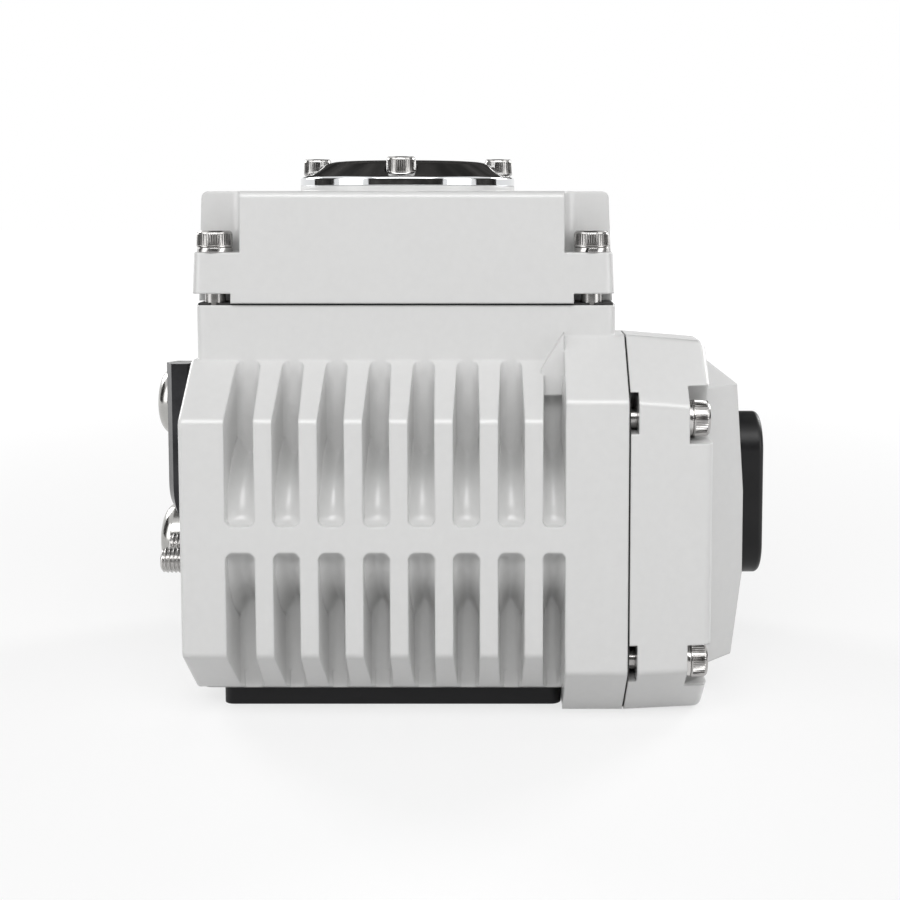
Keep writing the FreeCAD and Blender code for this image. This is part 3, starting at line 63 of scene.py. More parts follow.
# Bezel, its screws, the glass and the dial
M5_HEAD_RADIUS = 4.25
M5_HEAD_HEIGHT = 5.0
M5_HEAD_RISE = 0.8
M5_SHANK_RADIUS = 2.4
M5_SOCKET = 4.0
BEZEL_SCREW_CIRCLE = 28.0
BEZEL_SCREW_GRIP = 6.5
BEZEL_BORE_RADIUS = 2.65
BEZEL_BORE_GAP = 0.5
BOSS_TOP = 149.85
BEZEL_BAND = 2.45
BEZEL_CONE = 5.1
BEZEL_RADIUS = 33.0
BEZEL_FLAT = 24.0
BEZEL_OPENING = 19.0
GLASS_SEAT_RADIUS = 24.1
GLASS_THICKNESS = 2.6
GLASS_GAP = 0.1
DIAL_TOP = 148.85

# Stop bolts
STOP_HEIGHT = 34.3
STOP_OFFSET = 9.0
STOP_BOLT_RADIUS = 4.0
STOP_PITCH = 1.25
STOP_SOCKET = 4.0
STOP_TIP = -15.1
STOP_THREAD_END = -52.0
FRONT_STOP_HEAD = -76.2
REAR_STOP_HEAD = -78.2

# Ribs and grooves of the housing
BARREL_MIDDLE = 53.8
BARREL_HALF_DEPTH = 60.0
CORE_HALF_DEPTH = 43.0
CHEEK_EDGE = -45.9
FIRST_RIB = -35.4
RIB_PITCH = 12.2
RIB_WIDTH = 4.9
RIB_COUNT = 7
FLANGE_EDGE = 46.4
GROOVE_DRAFT = 0.75
GROOVE_END = 3.5


# Materials

def new_material(name):
    material = bpy.data.materials.new(name)
    material.use_nodes = True
    return material, material.node_tree, material.node_tree.nodes["Principled BSDF"]


def noise(tree, scale, detail=3.0, stretch=None):
    """Noise in object coordinates; scale is in cells per metre."""
    coords = tree.nodes.new("ShaderNodeTexCoord")
    texture = tree.nodes.new("ShaderNodeTexNoise")
    texture.inputs["Scale"].default_value = scale
    texture.inputs["Detail"].default_value = detail
    source = coords.outputs["Object"]
    if stretch:
        mapping = tree.nodes.new("ShaderNodeMapping")
        mapping.inputs["Scale"].default_value = stretch
        tree.links.new(source, mapping.inputs["Vector"])
        source = mapping.outputs["Vector"]
    tree.links.new(source, texture.inputs["Vector"])
    return texture.outputs["Fac"]


def spread(tree, value, low, high, reach=0.2):
    """Maps a noise value from its middle range, 0.5 less or plus the reach, to low..high."""
    node = tree.nodes.new("ShaderNodeMapRange")
    node.inputs["From Min"].default_value = 0.5 - reach
    node.inputs["From Max"].default_value = 0.5 + reach
    node.inputs["To Min"].default_value = low
    node.inputs["To Max"].default_value = high
    tree.links.new(value, node.inputs["Value"])
    return node.outputs["Result"]


def tinted(tree, factor, first, second):
    """Colour between two colours by a factor."""
    node = tree.nodes.new("ShaderNodeMix")
    node.data_type = "RGBA"
    node.inputs[6].default_value = (*first, 1)
    node.inputs[7].default_value = (*second, 1)
    tree.links.new(factor, node.inputs[0])
    return node.outputs[2]


def bump(tree, height, distance, strength=1.0, under=None):
    node = tree.nodes.new("ShaderNodeBump")
    node.inputs["Strength"].default_value = strength
    node.inputs["Distance"].default_value = distance
    tree.links.new(height, node.inputs["Height"])
    if under is not None:
        tree.links.new(under, node.inputs["Normal"])
    return node.outputs["Normal"]


def rounded_edges(tree, radius):
    node = tree.nodes.new("ShaderNodeBevel")
    node.samples = 6
    node.inputs["Radius"].default_value = radius
    return node.outputs["Normal"]


def paint(name, colour, roughness, coat, edge=0.0009, specular=0.5):
    """Stoved enamel: faint orange peel, slight unevenness of tone and gloss, soft edges."""
    material, tree, shader = new_material(name)
    darker = tuple(0.94 * c for c in colour)
    tone = spread(tree, noise(tree, 420, 5), 0, 1, 0.5)
    tree.links.new(tinted(tree, tone, colour, darker), shader.inputs["Base Color"])
    gloss = spread(tree, noise(tree, 45, 1), roughness - 0.05, roughness + 0.05, 0.5)
    tree.links.new(gloss, shader.inputs["Roughness"])
    shader.inputs["Specular IOR Level"].default_value = specular
    shader.inputs["Coat Weight"].default_value = coat
    shader.inputs["Coat Roughness"].default_value = 0.12
    peel = bump(tree, noise(tree, 700, 1), 0.00002, 0.4, rounded_edges(tree, edge))
    tree.links.new(peel, shader.inputs["Normal"])
    return material


def metal(name, colour, roughness, grain=None, strength=0.25, edge=0.0003, wear=0.12):
    """Worked metal: fine grain, uneven tone and gloss, and soft edges unless edge is 0."""
    material, tree, shader = new_material(name)
    shader.inputs["Metallic"].default_value = 1.0
    darker = tuple((1 - wear) * c for c in colour)
    tone = spread(tree, noise(tree, 120, 5), 0, 1)
    tree.links.new(tinted(tree, tone, colour, darker), shader.inputs["Base Color"])
    gloss = spread(tree, noise(tree, 420, 4), 0.8 * roughness, 1.35 * roughness)
    tree.links.new(gloss, shader.inputs["Roughness"])
    lines = noise(tree, 260, 3, grain or (1, 1, 1))
    soft = rounded_edges(tree, edge) if edge else None
    tree.links.new(bump(tree, lines, 0.00002, strength, soft), shader.inputs["Normal"])
    return material


def moulded(name, colour, roughness=0.5, grain=0.00003, scale=1800, specular=0.5):
    """Moulded plastic or rubber with a fine sparked grain."""
    material, tree, shader = new_material(name)
    lighter = tuple(min(1, 1.35 * c + 0.004) for c in colour)
    tone = spread(tree, noise(tree, 70, 4), 0, 1)
    tree.links.new(tinted(tree, tone, colour, lighter), shader.inputs["Base Color"])
    shader.inputs["Specular IOR Level"].default_value = specular
    gloss = spread(tree, noise(tree, 300, 4), roughness - 0.03, roughness + 0.05)
    tree.links.new(gloss, shader.inputs["Roughness"])
    tree.links.new(bump(tree, noise(tree, scale, 2), grain, 0.6, rounded_edges(tree, 0.0004)),
                   shader.inputs["Normal"])
    return material


def clear_glass(name):
    material, tree, shader = new_material(name)
    shader.inputs["Base Color"].default_value = (0.93, 0.97, 0.96, 1)
    shader.inputs["Transmission Weight"].default_value = 1.0
    shader.inputs["IOR"].default_value = 1.47
    gloss = spread(tree, noise(tree, 60, 4), 0.015, 0.05)
    tree.links.new(gloss, shader.inputs["Roughness"])
    return material


GREY_PAINT = paint("grey_enamel", (0.69, 0.69, 0.685), 0.36, 0.45)
# The mounting base's near-black is partly its own dark coat and partly painted shade, for the deep
# shade under the overhanging ribs.
BASE_BLACK_AND_SHADE = paint("base_black_and_shade", (0.008, 0.008, 0.009), 0.42, 0.0, 0.0006, 0.25)
CHROME = metal("polished_chrome", (0.72, 0.73, 0.74), 0.06, (1, 1, 9), 0.06, edge=0, wear=0.05)
STAINLESS = metal("stainless_steel", (0.60, 0.59, 0.58), 0.19)
KNURLED = metal("knurled_steel", (0.50, 0.49, 0.48), 0.20, edge=0, wear=0.25)
NICKEL = metal("nickel_plate", (0.46, 0.455, 0.44), 0.17, (9, 1, 1), 0.15)
DARK_STEEL = metal("black_oxide_steel", (0.05, 0.05, 0.053), 0.20, (1, 1, 0.1), 0.3, wear=0.35)
GROUND_STEEL = metal("ground_steel", (0.50, 0.50, 0.51), 0.36, (0.2, 6, 6))
BRONZE = metal("bearing_bronze", (0.56, 0.36, 0.16), 0.36)
ALUMINIUM = metal("rolled_aluminium", (0.72, 0.73, 0.74), 0.36, (0.15, 5, 5))
MOTOR_SKIN = metal("zinc_plated_can", (0.52, 0.53, 0.54), 0.37, (6, 1, 1))
RUBBER = moulded("black_rubber", (0.018, 0.018, 0.018), 0.72)
CAP_PLASTIC = moulded("cap_plastic", (0.006, 0.006, 0.0065), 0.36, 0.00002, 2400, 0.28)
CAM_PLASTIC = moulded("red_cam_plastic", (0.50, 0.045, 0.03), 0.38)
CASE_PLASTIC = moulded("black_case_plastic", (0.02, 0.02, 0.022), 0.42)
DIAL_PLASTIC = moulded("dial_white_plastic", (0.62, 0.61, 0.57), 0.42)
POINTER_PLASTIC = moulded("pointer_red_plastic", (0.55, 0.05, 0.03), 0.40)
BOARD = moulded("board_lacquer", (0.01, 0.13, 0.045), 0.36, 0.00005, 700)
TERMINAL = moulded("terminal_green", (0.03, 0.22, 0.06), 0.42)
SLEEVE = moulded("capacitor_sleeve", (0.20, 0.22, 0.26), 0.36)
GLASS = clear_glass("sight_glass_clear")

node_materials = {
    GREY_PAINT: ["gear_housing", "end_cover", "top_cover"],
    BASE_BLACK_AND_SHADE: ["mounting_base"],
    CHROME: ["bezel_ring"],
    STAINLESS: [
        "base_screws", "end_cover_screws", "end_cover_washers", "top_cover_screws",
        "top_cover_washers", "bezel_screws", "plate_screws", "tray_screws", "motor_screws",
        "clip_screws", "key_clips", "tray_posts", "board_posts", "stop_lock_nuts",
        "front_stop_bolt", "rear_stop_bolt",
    ],
    NICKEL: ["lower_gland_body", "upper_gland_body", "gland_nuts"],
    DARK_STEEL: ["hex_key"],
    GROUND_STEEL: [
        "output_shaft", "wheel_key", "cam_shaft", "worm_shaft", "worm_gear", "hand_shaft",
        "hand_gear", "worm_bearings", "bearing_ring", "motor_rotor",
    ],
    MOTOR_SKIN: ["motor_can"],
    BRONZE: ["worm_wheel", "lower_bush", "upper_bush", "hand_bush"],
    RUBBER: [
        "shaft_seal", "hand_seal", "glass_seal", "gland_seals", "end_cover_gasket",
        "top_cover_gasket",
    ],
    CAP_PLASTIC: ["override_cap"],
    GLASS: ["sight_glass"],
    DIAL_PLASTIC: ["position_dial"],
    CAM_PLASTIC: ["open_cam", "close_cam"],
    CASE_PLASTIC: ["open_switch", "close_switch"],
    BOARD: ["control_board"],
    TERMINAL: ["terminal_block"],
    SLEEVE: ["run_capacitor"],
    ALUMINIUM: ["gearbox_plate", "instrument_tray", "switch_bracket"],
}
for material, names in node_materials.items():
    for name in names:
        mesh = nodes[name].data
        mesh.materials.clear()
        mesh.materials.append(material)


# Soft shading of the solids

WELD_DISTANCE = 0.002 * MM
SMOOTH_ANGLE = 28


def smooth_group():
    """Geometry nodes: joins the facets' corners and shades smooth below a set angle."""
    tree = bpy.data.node_groups.new("smooth_by_angle", "GeometryNodeTree")
    tree.interface.new_socket("Geometry", in_out="INPUT", socket_type="NodeSocketGeometry")
    tree.interface.new_socket("Geometry", in_out="OUTPUT", socket_type="NodeSocketGeometry")
    start = tree.nodes.new("NodeGroupInput")
    end = tree.nodes.new("NodeGroupOutput")
    weld = tree.nodes.new("GeometryNodeMergeByDistance")
    weld.inputs["Distance"].default_value = WELD_DISTANCE
    angle = tree.nodes.new("GeometryNodeInputMeshEdgeAngle")
    compare = tree.nodes.new("FunctionNodeCompare")
    compare.operation = "GREATER_THAN"
    compare.inputs["B"].default_value = math.radians(SMOOTH_ANGLE)
    faces = tree.nodes.new("GeometryNodeSetShadeSmooth")
    edges = tree.nodes.new("GeometryNodeSetShadeSmooth")
    edges.domain = "EDGE"
    edges.inputs["Shade Smooth"].default_value = False
    link = tree.links.new
    link(start.outputs[0], weld.inputs["Geometry"])
    link(weld.outputs["Geometry"], faces.inputs["Geometry"])
    link(angle.outputs["Unsigned Angle"], compare.inputs["A"])
    link(faces.outputs["Geometry"], edges.inputs["Geometry"])
    link(compare.outputs["Result"], edges.inputs["Selection"])
    link(edges.outputs["Geometry"], end.inputs[0])
    return tree


SMOOTH = smooth_group()


def shade_softly(obj):
    modifier = obj.modifiers.new("smooth", "NODES")
    modifier.node_group = SMOOTH
    weighted = obj.modifiers.new("weighted", "WEIGHTED_NORMAL")
    weighted.keep_sharp = True


for node in nodes.values():
    shade_softly(node)


# Dressed pieces

MERGE_DISTANCE = 0.001


def piece(name, mesh, material, body, replaced=()):
    """Object from a bmesh in millimetres, riding on a body."""
    bmesh.ops.remove_doubles(mesh, verts=mesh.verts, dist=MERGE_DISTANCE)
    bmesh.ops.recalc_face_normals(mesh, faces=mesh.faces)
    bmesh.ops.scale(mesh, vec=(MM, MM, MM), verts=mesh.verts)
    data = bpy.data.meshes.new(name)
    mesh.to_mesh(data)
    mesh.free()
    obj = bpy.data.objects.new(name, data)
    bpy.context.scene.collection.objects.link(obj)
    data.materials.append(material)
    shade_softly(obj)
    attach(obj, body)
    if replaced:
        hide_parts(*replaced)
    return obj


def ring_of(mesh, radii, height, place):
    """One closed row of points about the Z axis; radii gives the radius at each of them."""
    row = []
    for number, radius in enumerate(radii):
        angle = 2 * math.pi * number / len(radii)
        point = Vector((radius * math.cos(angle), radius * math.sin(angle), height))
        row.append(mesh.verts.new(place @ point))
    return row


def bridge(mesh, first, second):
    count = len(first)
    for k in range(count):
        mesh.faces.new((first[k], first[(k + 1) % count], second[(k + 1) % count], second[k]))


def loft(mesh, rows):
    """Skin over rows of points, closed by a face at each end."""
    for first, second in zip(rows[:-1], rows[1:]):
        bridge(mesh, first, second)
    mesh.faces.new(rows[0])
    mesh.faces.new(rows[-1])


def hexagon_radii(flats, count):
    """Radius of a hexagon's outline in count directions."""
    radii = []
    for number in range(count):
        angle = (360 * number / count) % 60 - 30
        radii.append(flats / 2 / math.cos(math.radians(angle)))
    return radii


KNURLS = 48
KNURL_DEPTH = 0.22
FOOT_CHAMFER = 0.3
CROWN_CHAMFER = 0.62
SOCKET_CHAMFER = 0.15
SOCKET_FLOOR = 0.45


def add_cap_screw(mesh, place, radius, height, socket, shank_radius, grip):
    """Socket cap screw: straight knurl, chamfered crown, hexagon socket and shank."""
    count = 4 * KNURLS
    full = [radius] * count
    knurled = [radius - (0.0 if k % 4 < 2 else KNURL_DEPTH) for k in range(count)]
    crown = [radius - CROWN_CHAMFER] * count
    hexagon = hexagon_radii(socket, count)
    rows = [
        ring_of(mesh, [shank_radius] * count, -grip, place),
        ring_of(mesh, [shank_radius] * count, 0, place),
        ring_of(mesh, [radius - FOOT_CHAMFER] * count, 0, place),
        ring_of(mesh, full, 0.25, place),
        ring_of(mesh, full, 0.55, place),
        ring_of(mesh, knurled, 0.7, place),
        ring_of(mesh, knurled, height - 0.95, place),
        ring_of(mesh, [radius - 0.12] * count, height - 0.75, place),
        ring_of(mesh, [radius - 0.2] * count, height - 0.4, place),
        ring_of(mesh, crown, height, place),
        ring_of(mesh, [r + SOCKET_CHAMFER for r in hexagon], height, place),
        ring_of(mesh, hexagon, height - 0.2, place),
        ring_of(mesh, hexagon, SOCKET_FLOOR * height, place),
    ]
    loft(mesh, rows)


WASHER_STEPS = 44
WASHER_SPLIT = 9
WASHER_SLANT = 0.10


def add_spring_washer(mesh, place, inner, outer, height, turn):
    """Split ring whose two ends are cut on a slant."""
    gap = math.radians(WASHER_SPLIT)
    low, high = 0.05, height - 0.02
    rows = []
    for step in range(WASHER_STEPS + 1):
        share = step / WASHER_STEPS
        angle = turn + gap / 2 + (2 * math.pi - gap) * share
        row = []
        for radius, z in ((inner, low), (outer, low), (outer, high), (inner, high)):
            slant = WASHER_SLANT * (z / height - 0.5)
            point = Vector((radius * math.cos(angle + slant), radius * math.sin(angle + slant), z))
            row.append(mesh.verts.new(place @ point))
        rows.append(row)
    loft(mesh, rows)


def upright(x, y, z):
    return Matrix.Translation((x, y, z))


def along_x(x, y, z):
    return Matrix.Translation((x, y, z)) @ Matrix.Rotation(math.radians(90), 4, "Y")


TOP_SEAT = COVER_BOTTOM + COVER_POCKET_FLOOR
END_SEAT = END_FACE - END_POCKET_DEPTH
BEZEL_TOP = BOSS_TOP + BEZEL_BAND + BEZEL_CONE
COUNTERBORE_FLOOR = BEZEL_TOP + M5_HEAD_RISE - M5_HEAD_HEIGHT
top_places = [(x, y) for x in COVER_SCREW_X for y in (-COVER_SCREW_Y, COVER_SCREW_Y)]
end_places = [(y, z) for y in (-END_SCREW_Y, END_SCREW_Y) for z in END_SCREW_Z]
bezel_places = [
    (BEZEL_SCREW_CIRCLE, 0.0),
    (0.0, BEZEL_SCREW_CIRCLE),
    (-BEZEL_SCREW_CIRCLE, 0.0),
    (0.0, -BEZEL_SCREW_CIRCLE),
]


def add_m6_screw(screws, washers, seat, grip, spin, washer_turn):
    """M6 screw turned by spin degrees on a spring washer that lies on the seat."""
    lift = Matrix.Translation((0, 0, WASHER_HEIGHT))
    place = seat @ lift @ Matrix.Rotation(math.radians(spin), 4, "Z")
    add_cap_screw(screws, place, M6_HEAD_RADIUS, M6_HEAD_HEIGHT, M6_SOCKET, M6_SHANK_RADIUS, grip)
    add_spring_washer(washers, seat, WASHER_INNER, WASHER_OUTER, WASHER_HEIGHT, washer_turn)


def cover_screws():
    screws, washers = bmesh.new(), bmesh.new()
    for number, (x, y) in enumerate(top_places):
        seat = upright(x, y, TOP_SEAT)
        add_m6_screw(screws, washers, seat, COVER_SCREW_GRIP, 17 + 40 * number, 0.6 + 1.9 * number)
    piece("top_cover_knurled_screws", screws, KNURLED, "housing", ["top_cover_screws"])
    piece("top_cover_split_washers", washers, STAINLESS, "housing", ["top_cover_washers"])


def side_screws():
    screws, washers = bmesh.new(), bmesh.new()
    for number, (y, z) in enumerate(end_places):
        seat = along_x(END_SEAT, y, z)
        add_m6_screw(screws, washers, seat, END_SCREW_GRIP, 11 + 25 * number, 0.9 + 1.3 * number)
    piece("end_cover_knurled_screws", screws, KNURLED, "housing", ["end_cover_screws"])
    piece("end_cover_split_washers", washers, STAINLESS, "housing", ["end_cover_washers"])


def ring_screws():
    screws = bmesh.new()
    for number, (x, y) in enumerate(bezel_places):
        spin = Matrix.Rotation(math.radians(8 + 30 * number), 4, "Z")
        place = upright(x, y, COUNTERBORE_FLOOR) @ spin
        add_cap_screw(
            screws, place, M5_HEAD_RADIUS, M5_HEAD_HEIGHT, M5_SOCKET, M5_SHANK_RADIUS,
            BEZEL_SCREW_GRIP,
        )
    piece("bezel_knurled_screws", screws, KNURLED, "housing", ["bezel_screws"])


THREAD_DEPTH = 0.68
THREAD_STEPS = 6
THREAD_ENTRY = 0.9
THREAD_CLEARANCE = 0.04
SHANK_CLEARANCE = 0.05


def thread_radii(along, count):
    """Radius of the thread all round, at a distance from the end of the bolt."""
    entry = min(1.0, along / THREAD_ENTRY)
    limit = STOP_BOLT_RADIUS - THREAD_ENTRY * (1 - entry)
    radii = []
    for number in range(count):
        phase = (along / STOP_PITCH - number / count) % 1.0
        depth = THREAD_DEPTH * abs(2 * phase - 1)
        radii.append(min(STOP_BOLT_RADIUS - THREAD_CLEARANCE - depth, limit))
    return radii


def stop_bolt(name, node, y, end_x):
    """Set screw with a rolled thread, a chamfered end and a hexagon socket."""
    mesh = bmesh.new()
    count = 24
    socket_depth = 4
    chamfer = 0.8
    place = along_x(0, y, STOP_HEIGHT)
    plain = [STOP_BOLT_RADIUS - SHANK_CLEARANCE] * count
    tip = [STOP_BOLT_RADIUS - SHANK_CLEARANCE - chamfer] * count
    rows = []
    x = end_x
    while x < STOP_THREAD_END:
        rows.append(ring_of(mesh, thread_radii(x - end_x, count), x, place))
        x += STOP_PITCH / THREAD_STEPS
    rows.append(ring_of(mesh, plain, STOP_THREAD_END + 0.4, place))
    rows.append(ring_of(mesh, plain, STOP_TIP - chamfer, place))
    rows.append(ring_of(mesh, tip, STOP_TIP, place))
    hexagon = hexagon_radii(STOP_SOCKET, count)
    mouth = ring_of(mesh, hexagon, end_x, place)
    floor = ring_of(mesh, hexagon, end_x + socket_depth, place)
    loft(mesh, [floor, mouth] + rows)
    piece(name, mesh, STAINLESS, "housing", [node])


def soft_corners(corners, steps=4):
    """Closed profile whose corners are rounded; each corner is (radius, height, length to cut)."""
    profile = []
    count = len(corners)
    for number, (r, z, cut) in enumerate(corners):
        corner = Vector((r, z))
        before = Vector(corners[number - 1][:2]) - corner
        after = Vector(corners[(number + 1) % count][:2]) - corner
        start = corner + before.normalized() * cut
        end = corner + after.normalized() * cut
        for step in range(steps + 1):
            t = step / steps
            profile.append((1 - t) ** 2 * start + 2 * t * (1 - t) * corner + t ** 2 * end)
    return profile


def add_cylinder(mesh, x, y, radius, z0, z1, count=48):
    place = Matrix.Translation((x, y, 0))
    low = ring_of(mesh, [radius] * count, z0, place)
    high = ring_of(mesh, [radius] * count, z1, place)
    loft(mesh, [low, high])


def cut_out(obj, tool_mesh):
    """Takes a bmesh in millimetres out of a piece for good."""
    bmesh.ops.recalc_face_normals(tool_mesh, faces=tool_mesh.faces)
    bmesh.ops.scale(tool_mesh, vec=(MM, MM, MM), verts=tool_mesh.verts)
    data = bpy.data.meshes.new("cutter")
    tool_mesh.to_mesh(data)
    tool_mesh.free()
    cutter = bpy.data.objects.new("cutter", data)
    bpy.context.scene.collection.objects.link(cutter)
    modifier = obj.modifiers.new("cut", "BOOLEAN")
    modifier.operation = "DIFFERENCE"
    modifier.solver = "EXACT"
    modifier.object = cutter
    obj.modifiers.move(len(obj.modifiers) - 1, 0)
    graph = bpy.context.evaluated_depsgraph_get()
    whole = bpy.data.meshes.new_from_object(obj.evaluated_get(graph))
    obj.modifiers.clear()
    obj.data = whole
    bpy.data.objects.remove(cutter, do_unlink=True)
    bpy.data.meshes.remove(data)
    shade_softly(obj)


def chrome_bezel():
    """Turned ring with softened edges and a counterbore for each of its screws."""
    glass_top = BOSS_TOP + GLASS_THICKNESS + GLASS_GAP
    chamfer = 1.2
    sharp = 0.1
    profile = soft_corners([
        (GLASS_SEAT_RADIUS, BOSS_TOP, sharp),
        (BEZEL_RADIUS, BOSS_TOP, 0.25),
        (BEZEL_RADIUS, BOSS_TOP + BEZEL_BAND, 0.6),
        (BEZEL_FLAT, BEZEL_TOP, 2.2),
        (BEZEL_OPENING + chamfer, BEZEL_TOP, 0.3),
        (BEZEL_OPENING, BEZEL_TOP - chamfer, 0.3),
        (BEZEL_OPENING, glass_top, sharp),
        (GLASS_SEAT_RADIUS, glass_top, sharp),
    ])
    mesh = bmesh.new()
    count = 180
    rows = [ring_of(mesh, [r] * count, z, Matrix()) for r, z in profile]
    for first, second in zip(rows, rows[1:] + rows[:1]):
        bridge(mesh, first, second)
    ring = piece("chrome_bezel", mesh, CHROME, "housing", ["bezel_ring"])
    bores = bmesh.new()
    for x, y in bezel_places:
        add_cylinder(bores, x, y, M5_HEAD_RADIUS + BEZEL_BORE_GAP, COUNTERBORE_FLOOR, BEZEL_TOP + 1)
        add_cylinder(bores, x, y, BEZEL_BORE_RADIUS, BOSS_TOP - 1, BEZEL_TOP)
    cut_out(ring, bores)


# Fluted floors of the grooves: the middle follows a circle, the sides lag and curl up

FLUTE_RADIUS = 22.0
FLUTE_CENTRE = 34.2
FLUTE_END_RADIUS = 2.6
FLUTE_LAG = 6.0
FLUTE_CURL = 1.9
FLUTE_REACH = 31.0
FLUTE_TAIL = 6.0
FLUTE_FALL = 0.05
FLUTE_BLEND = 2.0
FLUTE_SINK = 0.12
FLUTE_ROOT = 2.5
FLUTE_OVERLAP = 0.12
FLUTE_STEPS = 18
END_LEAD = 0.3
END_STEP = 0.45
END_ROWS = 8
RAMP_ROWS = 26
RIM_MARGIN = 0.8


def flute_depth(rise, across):
    """Distance of a groove's floor from the middle plane; the sides run out later than the middle."""
    along = rise - FLUTE_LAG * across ** 2
    run = min(max(along, 0.0), FLUTE_RADIUS)
    bulge = FLUTE_CENTRE + math.sqrt(FLUTE_RADIUS ** 2 - run ** 2) - CORE_HALF_DEPTH
    bulge = 0.5 * (bulge + math.sqrt(bulge ** 2 + FLUTE_BLEND)) - FLUTE_SINK
    into_end = min(FLUTE_END_RADIUS, max(0.0, rise - GROOVE_END))
    left = FLUTE_END_RADIUS - into_end
    bulge += FLUTE_END_RADIUS - math.sqrt(FLUTE_END_RADIUS ** 2 - left ** 2)
    bulge += FLUTE_CURL * (1 - math.sqrt(max(0.0, 1 - across ** 2)))
    bulge -= FLUTE_FALL * max(0.0, rise - FLUTE_REACH + FLUTE_TAIL) ** 2
    return min(CORE_HALF_DEPTH + bulge, BARREL_HALF_DEPTH - RIM_MARGIN)


def flute_row(mesh, gap, rise, up, side):
    """Closed section of a groove's floor at a height above or below the band's middle."""
    front = BARREL_HALF_DEPTH + 1
    slope = GROOVE_DRAFT / (front - CORE_HALF_DEPTH)
    half = (gap[1] - gap[0]) / 2 - slope * (front - flute_depth(rise, 1.0)) + FLUTE_OVERLAP
    centre = (gap[0] + gap[1]) / 2
    height = BARREL_MIDDLE + up * rise
    points = []
    for step in range(FLUTE_STEPS + 1):
        across = -math.cos(math.pi * step / FLUTE_STEPS)
        points.append((centre + half * across, side * flute_depth(rise, across), height))
    behind = CORE_HALF_DEPTH - FLUTE_ROOT
    points.append((centre + 0.8 * half, side * behind, height))
    points.append((centre - 0.8 * half, side * behind, height))
    return [mesh.verts.new(point) for point in points]


def fluted_floors():
    """Round-bottomed floors that are shallow at the band and run out on the core, as cast."""
    mesh = bmesh.new()
    ribs = [FIRST_RIB + RIB_PITCH * n for n in range(RIB_COUNT)]
    lefts = [CHEEK_EDGE] + [rib + RIB_WIDTH / 2 for rib in ribs]
    rights = [rib - RIB_WIDTH / 2 for rib in ribs] + [FLANGE_EDGE]
    heights = [GROOVE_END - END_LEAD + END_STEP * n for n in range(END_ROWS)]
    step = (FLUTE_REACH - heights[-1]) / RAMP_ROWS
    heights += [heights[-1] + step * (n + 1) for n in range(RAMP_ROWS)]
    for gap in zip(lefts, rights):
        for up in (-1, 1):
            for side in (-1, 1):
                loft(mesh, [flute_row(mesh, gap, rise, up, side) for rise in heights])
    piece("fluted_groove_floors", mesh, GREY_PAINT, "housing")


fluted_floors()
cover_screws()
side_screws()
ring_screws()
chrome_bezel()
stop_bolt("front_threaded_stop", "front_stop_bolt", -STOP_OFFSET, FRONT_STOP_HEAD)
stop_bolt("rear_threaded_stop", "rear_stop_bolt", STOP_OFFSET, REAR_STOP_HEAD)


# Dial under the glass

POINTER_LOW = DIAL_TOP + 0.02
POINTER_HIGH = DIAL_TOP + 0.75
MARK_RADIUS = BEZEL_OPENING - 0.1
MARK_LOW = BOSS_TOP - 0.06
MARK_HIGH = BOSS_TOP + 0.01
MARK_COUNT = 10
MARK_PITCH = 10
LIMIT_MARK = (2.6, 0.45)
SMALL_MARK = (1.5, 0.25)


def add_bar(mesh, x0, x1, y0, y1, z0, z1, turn):
    spin = Matrix.Rotation(turn, 4, "Z")
    corners = []
    for z in (z0, z1):
        for x, y in ((x0, y0), (x1, y0), (x1, y1), (x0, y1)):
            corners.append(mesh.verts.new(spin @ Vector((x, y, z))))
    loft(mesh, [corners[:4], corners[4:]])


def pointer():
    """Arrow on the turning dial."""
    mesh = bmesh.new()
    tip, neck, tail = 15.6, 9.5, -14
    wing, half = 4.4, 1.7
    outline = [
        (tip, 0), (neck, wing), (neck, half), (tail, half), (tail, -half), (neck, -half), (neck, -wing),
    ]
    below = [mesh.verts.new((x, y, POINTER_LOW)) for x, y in outline]
    above = [mesh.verts.new((x, y, POINTER_HIGH)) for x, y in outline]
    loft(mesh, [below, above])
    piece("dial_pointer", mesh, POINTER_PLASTIC, "output_train")


def scale_ticks():
    """Marks every ten degrees over the travel, printed on the underside of the glass."""
    mesh = bmesh.new()
    for mark in range(MARK_COUNT):
        length, half = LIMIT_MARK if mark in (0, MARK_COUNT - 1) else SMALL_MARK
        turn = math.radians(MARK_PITCH * mark)
        add_bar(mesh, MARK_RADIUS - length, MARK_RADIUS, -half, half, MARK_LOW, MARK_HIGH, turn)
    piece("scale_marks", mesh, CASE_PLASTIC, "housing")


pointer()
scale_ticks()


# Floor, light and camera; places in metres, powers in watts

CENTRE = (0.01, 0.0, 0.08)
FLOOR_SIZE = 12.0
FLOOR_TONE = (0.60, 0.60, 0.60)
SEEN_FLOOR_TONE = (0.30, 0.30, 0.30)
NEAR_GLOW = 0.66
FAR_GLOW = 0.97
GLOW_START = 0.2
GLOW_END = 1.4
ROOM_LEVEL = (0.28, 0.28, 0.282)
FRONT_LAMP = 7.6
SIDE_LAMP = 3.0
REAR_LAMP = 6.0
LENS = 52.6
SENSOR = 36
SHIFT = (-0.058, -0.1645)
PITCH = 4.4
CAMERA_PLACE = (29.2 * MM, -410 * MM, 145.5 * MM)


def stage_plane(name, size, place, material):
    mesh = bmesh.new()
    bmesh.ops.create_grid(mesh, x_segments=1, y_segments=1, size=size / 2)
    data = bpy.data.meshes.new(name)
    mesh.to_mesh(data)
    mesh.free()
    obj = bpy.data.objects.new(name, data)
    obj.location = place
    bpy.context.scene.collection.objects.link(obj)
    data.materials.append(material)
    return obj


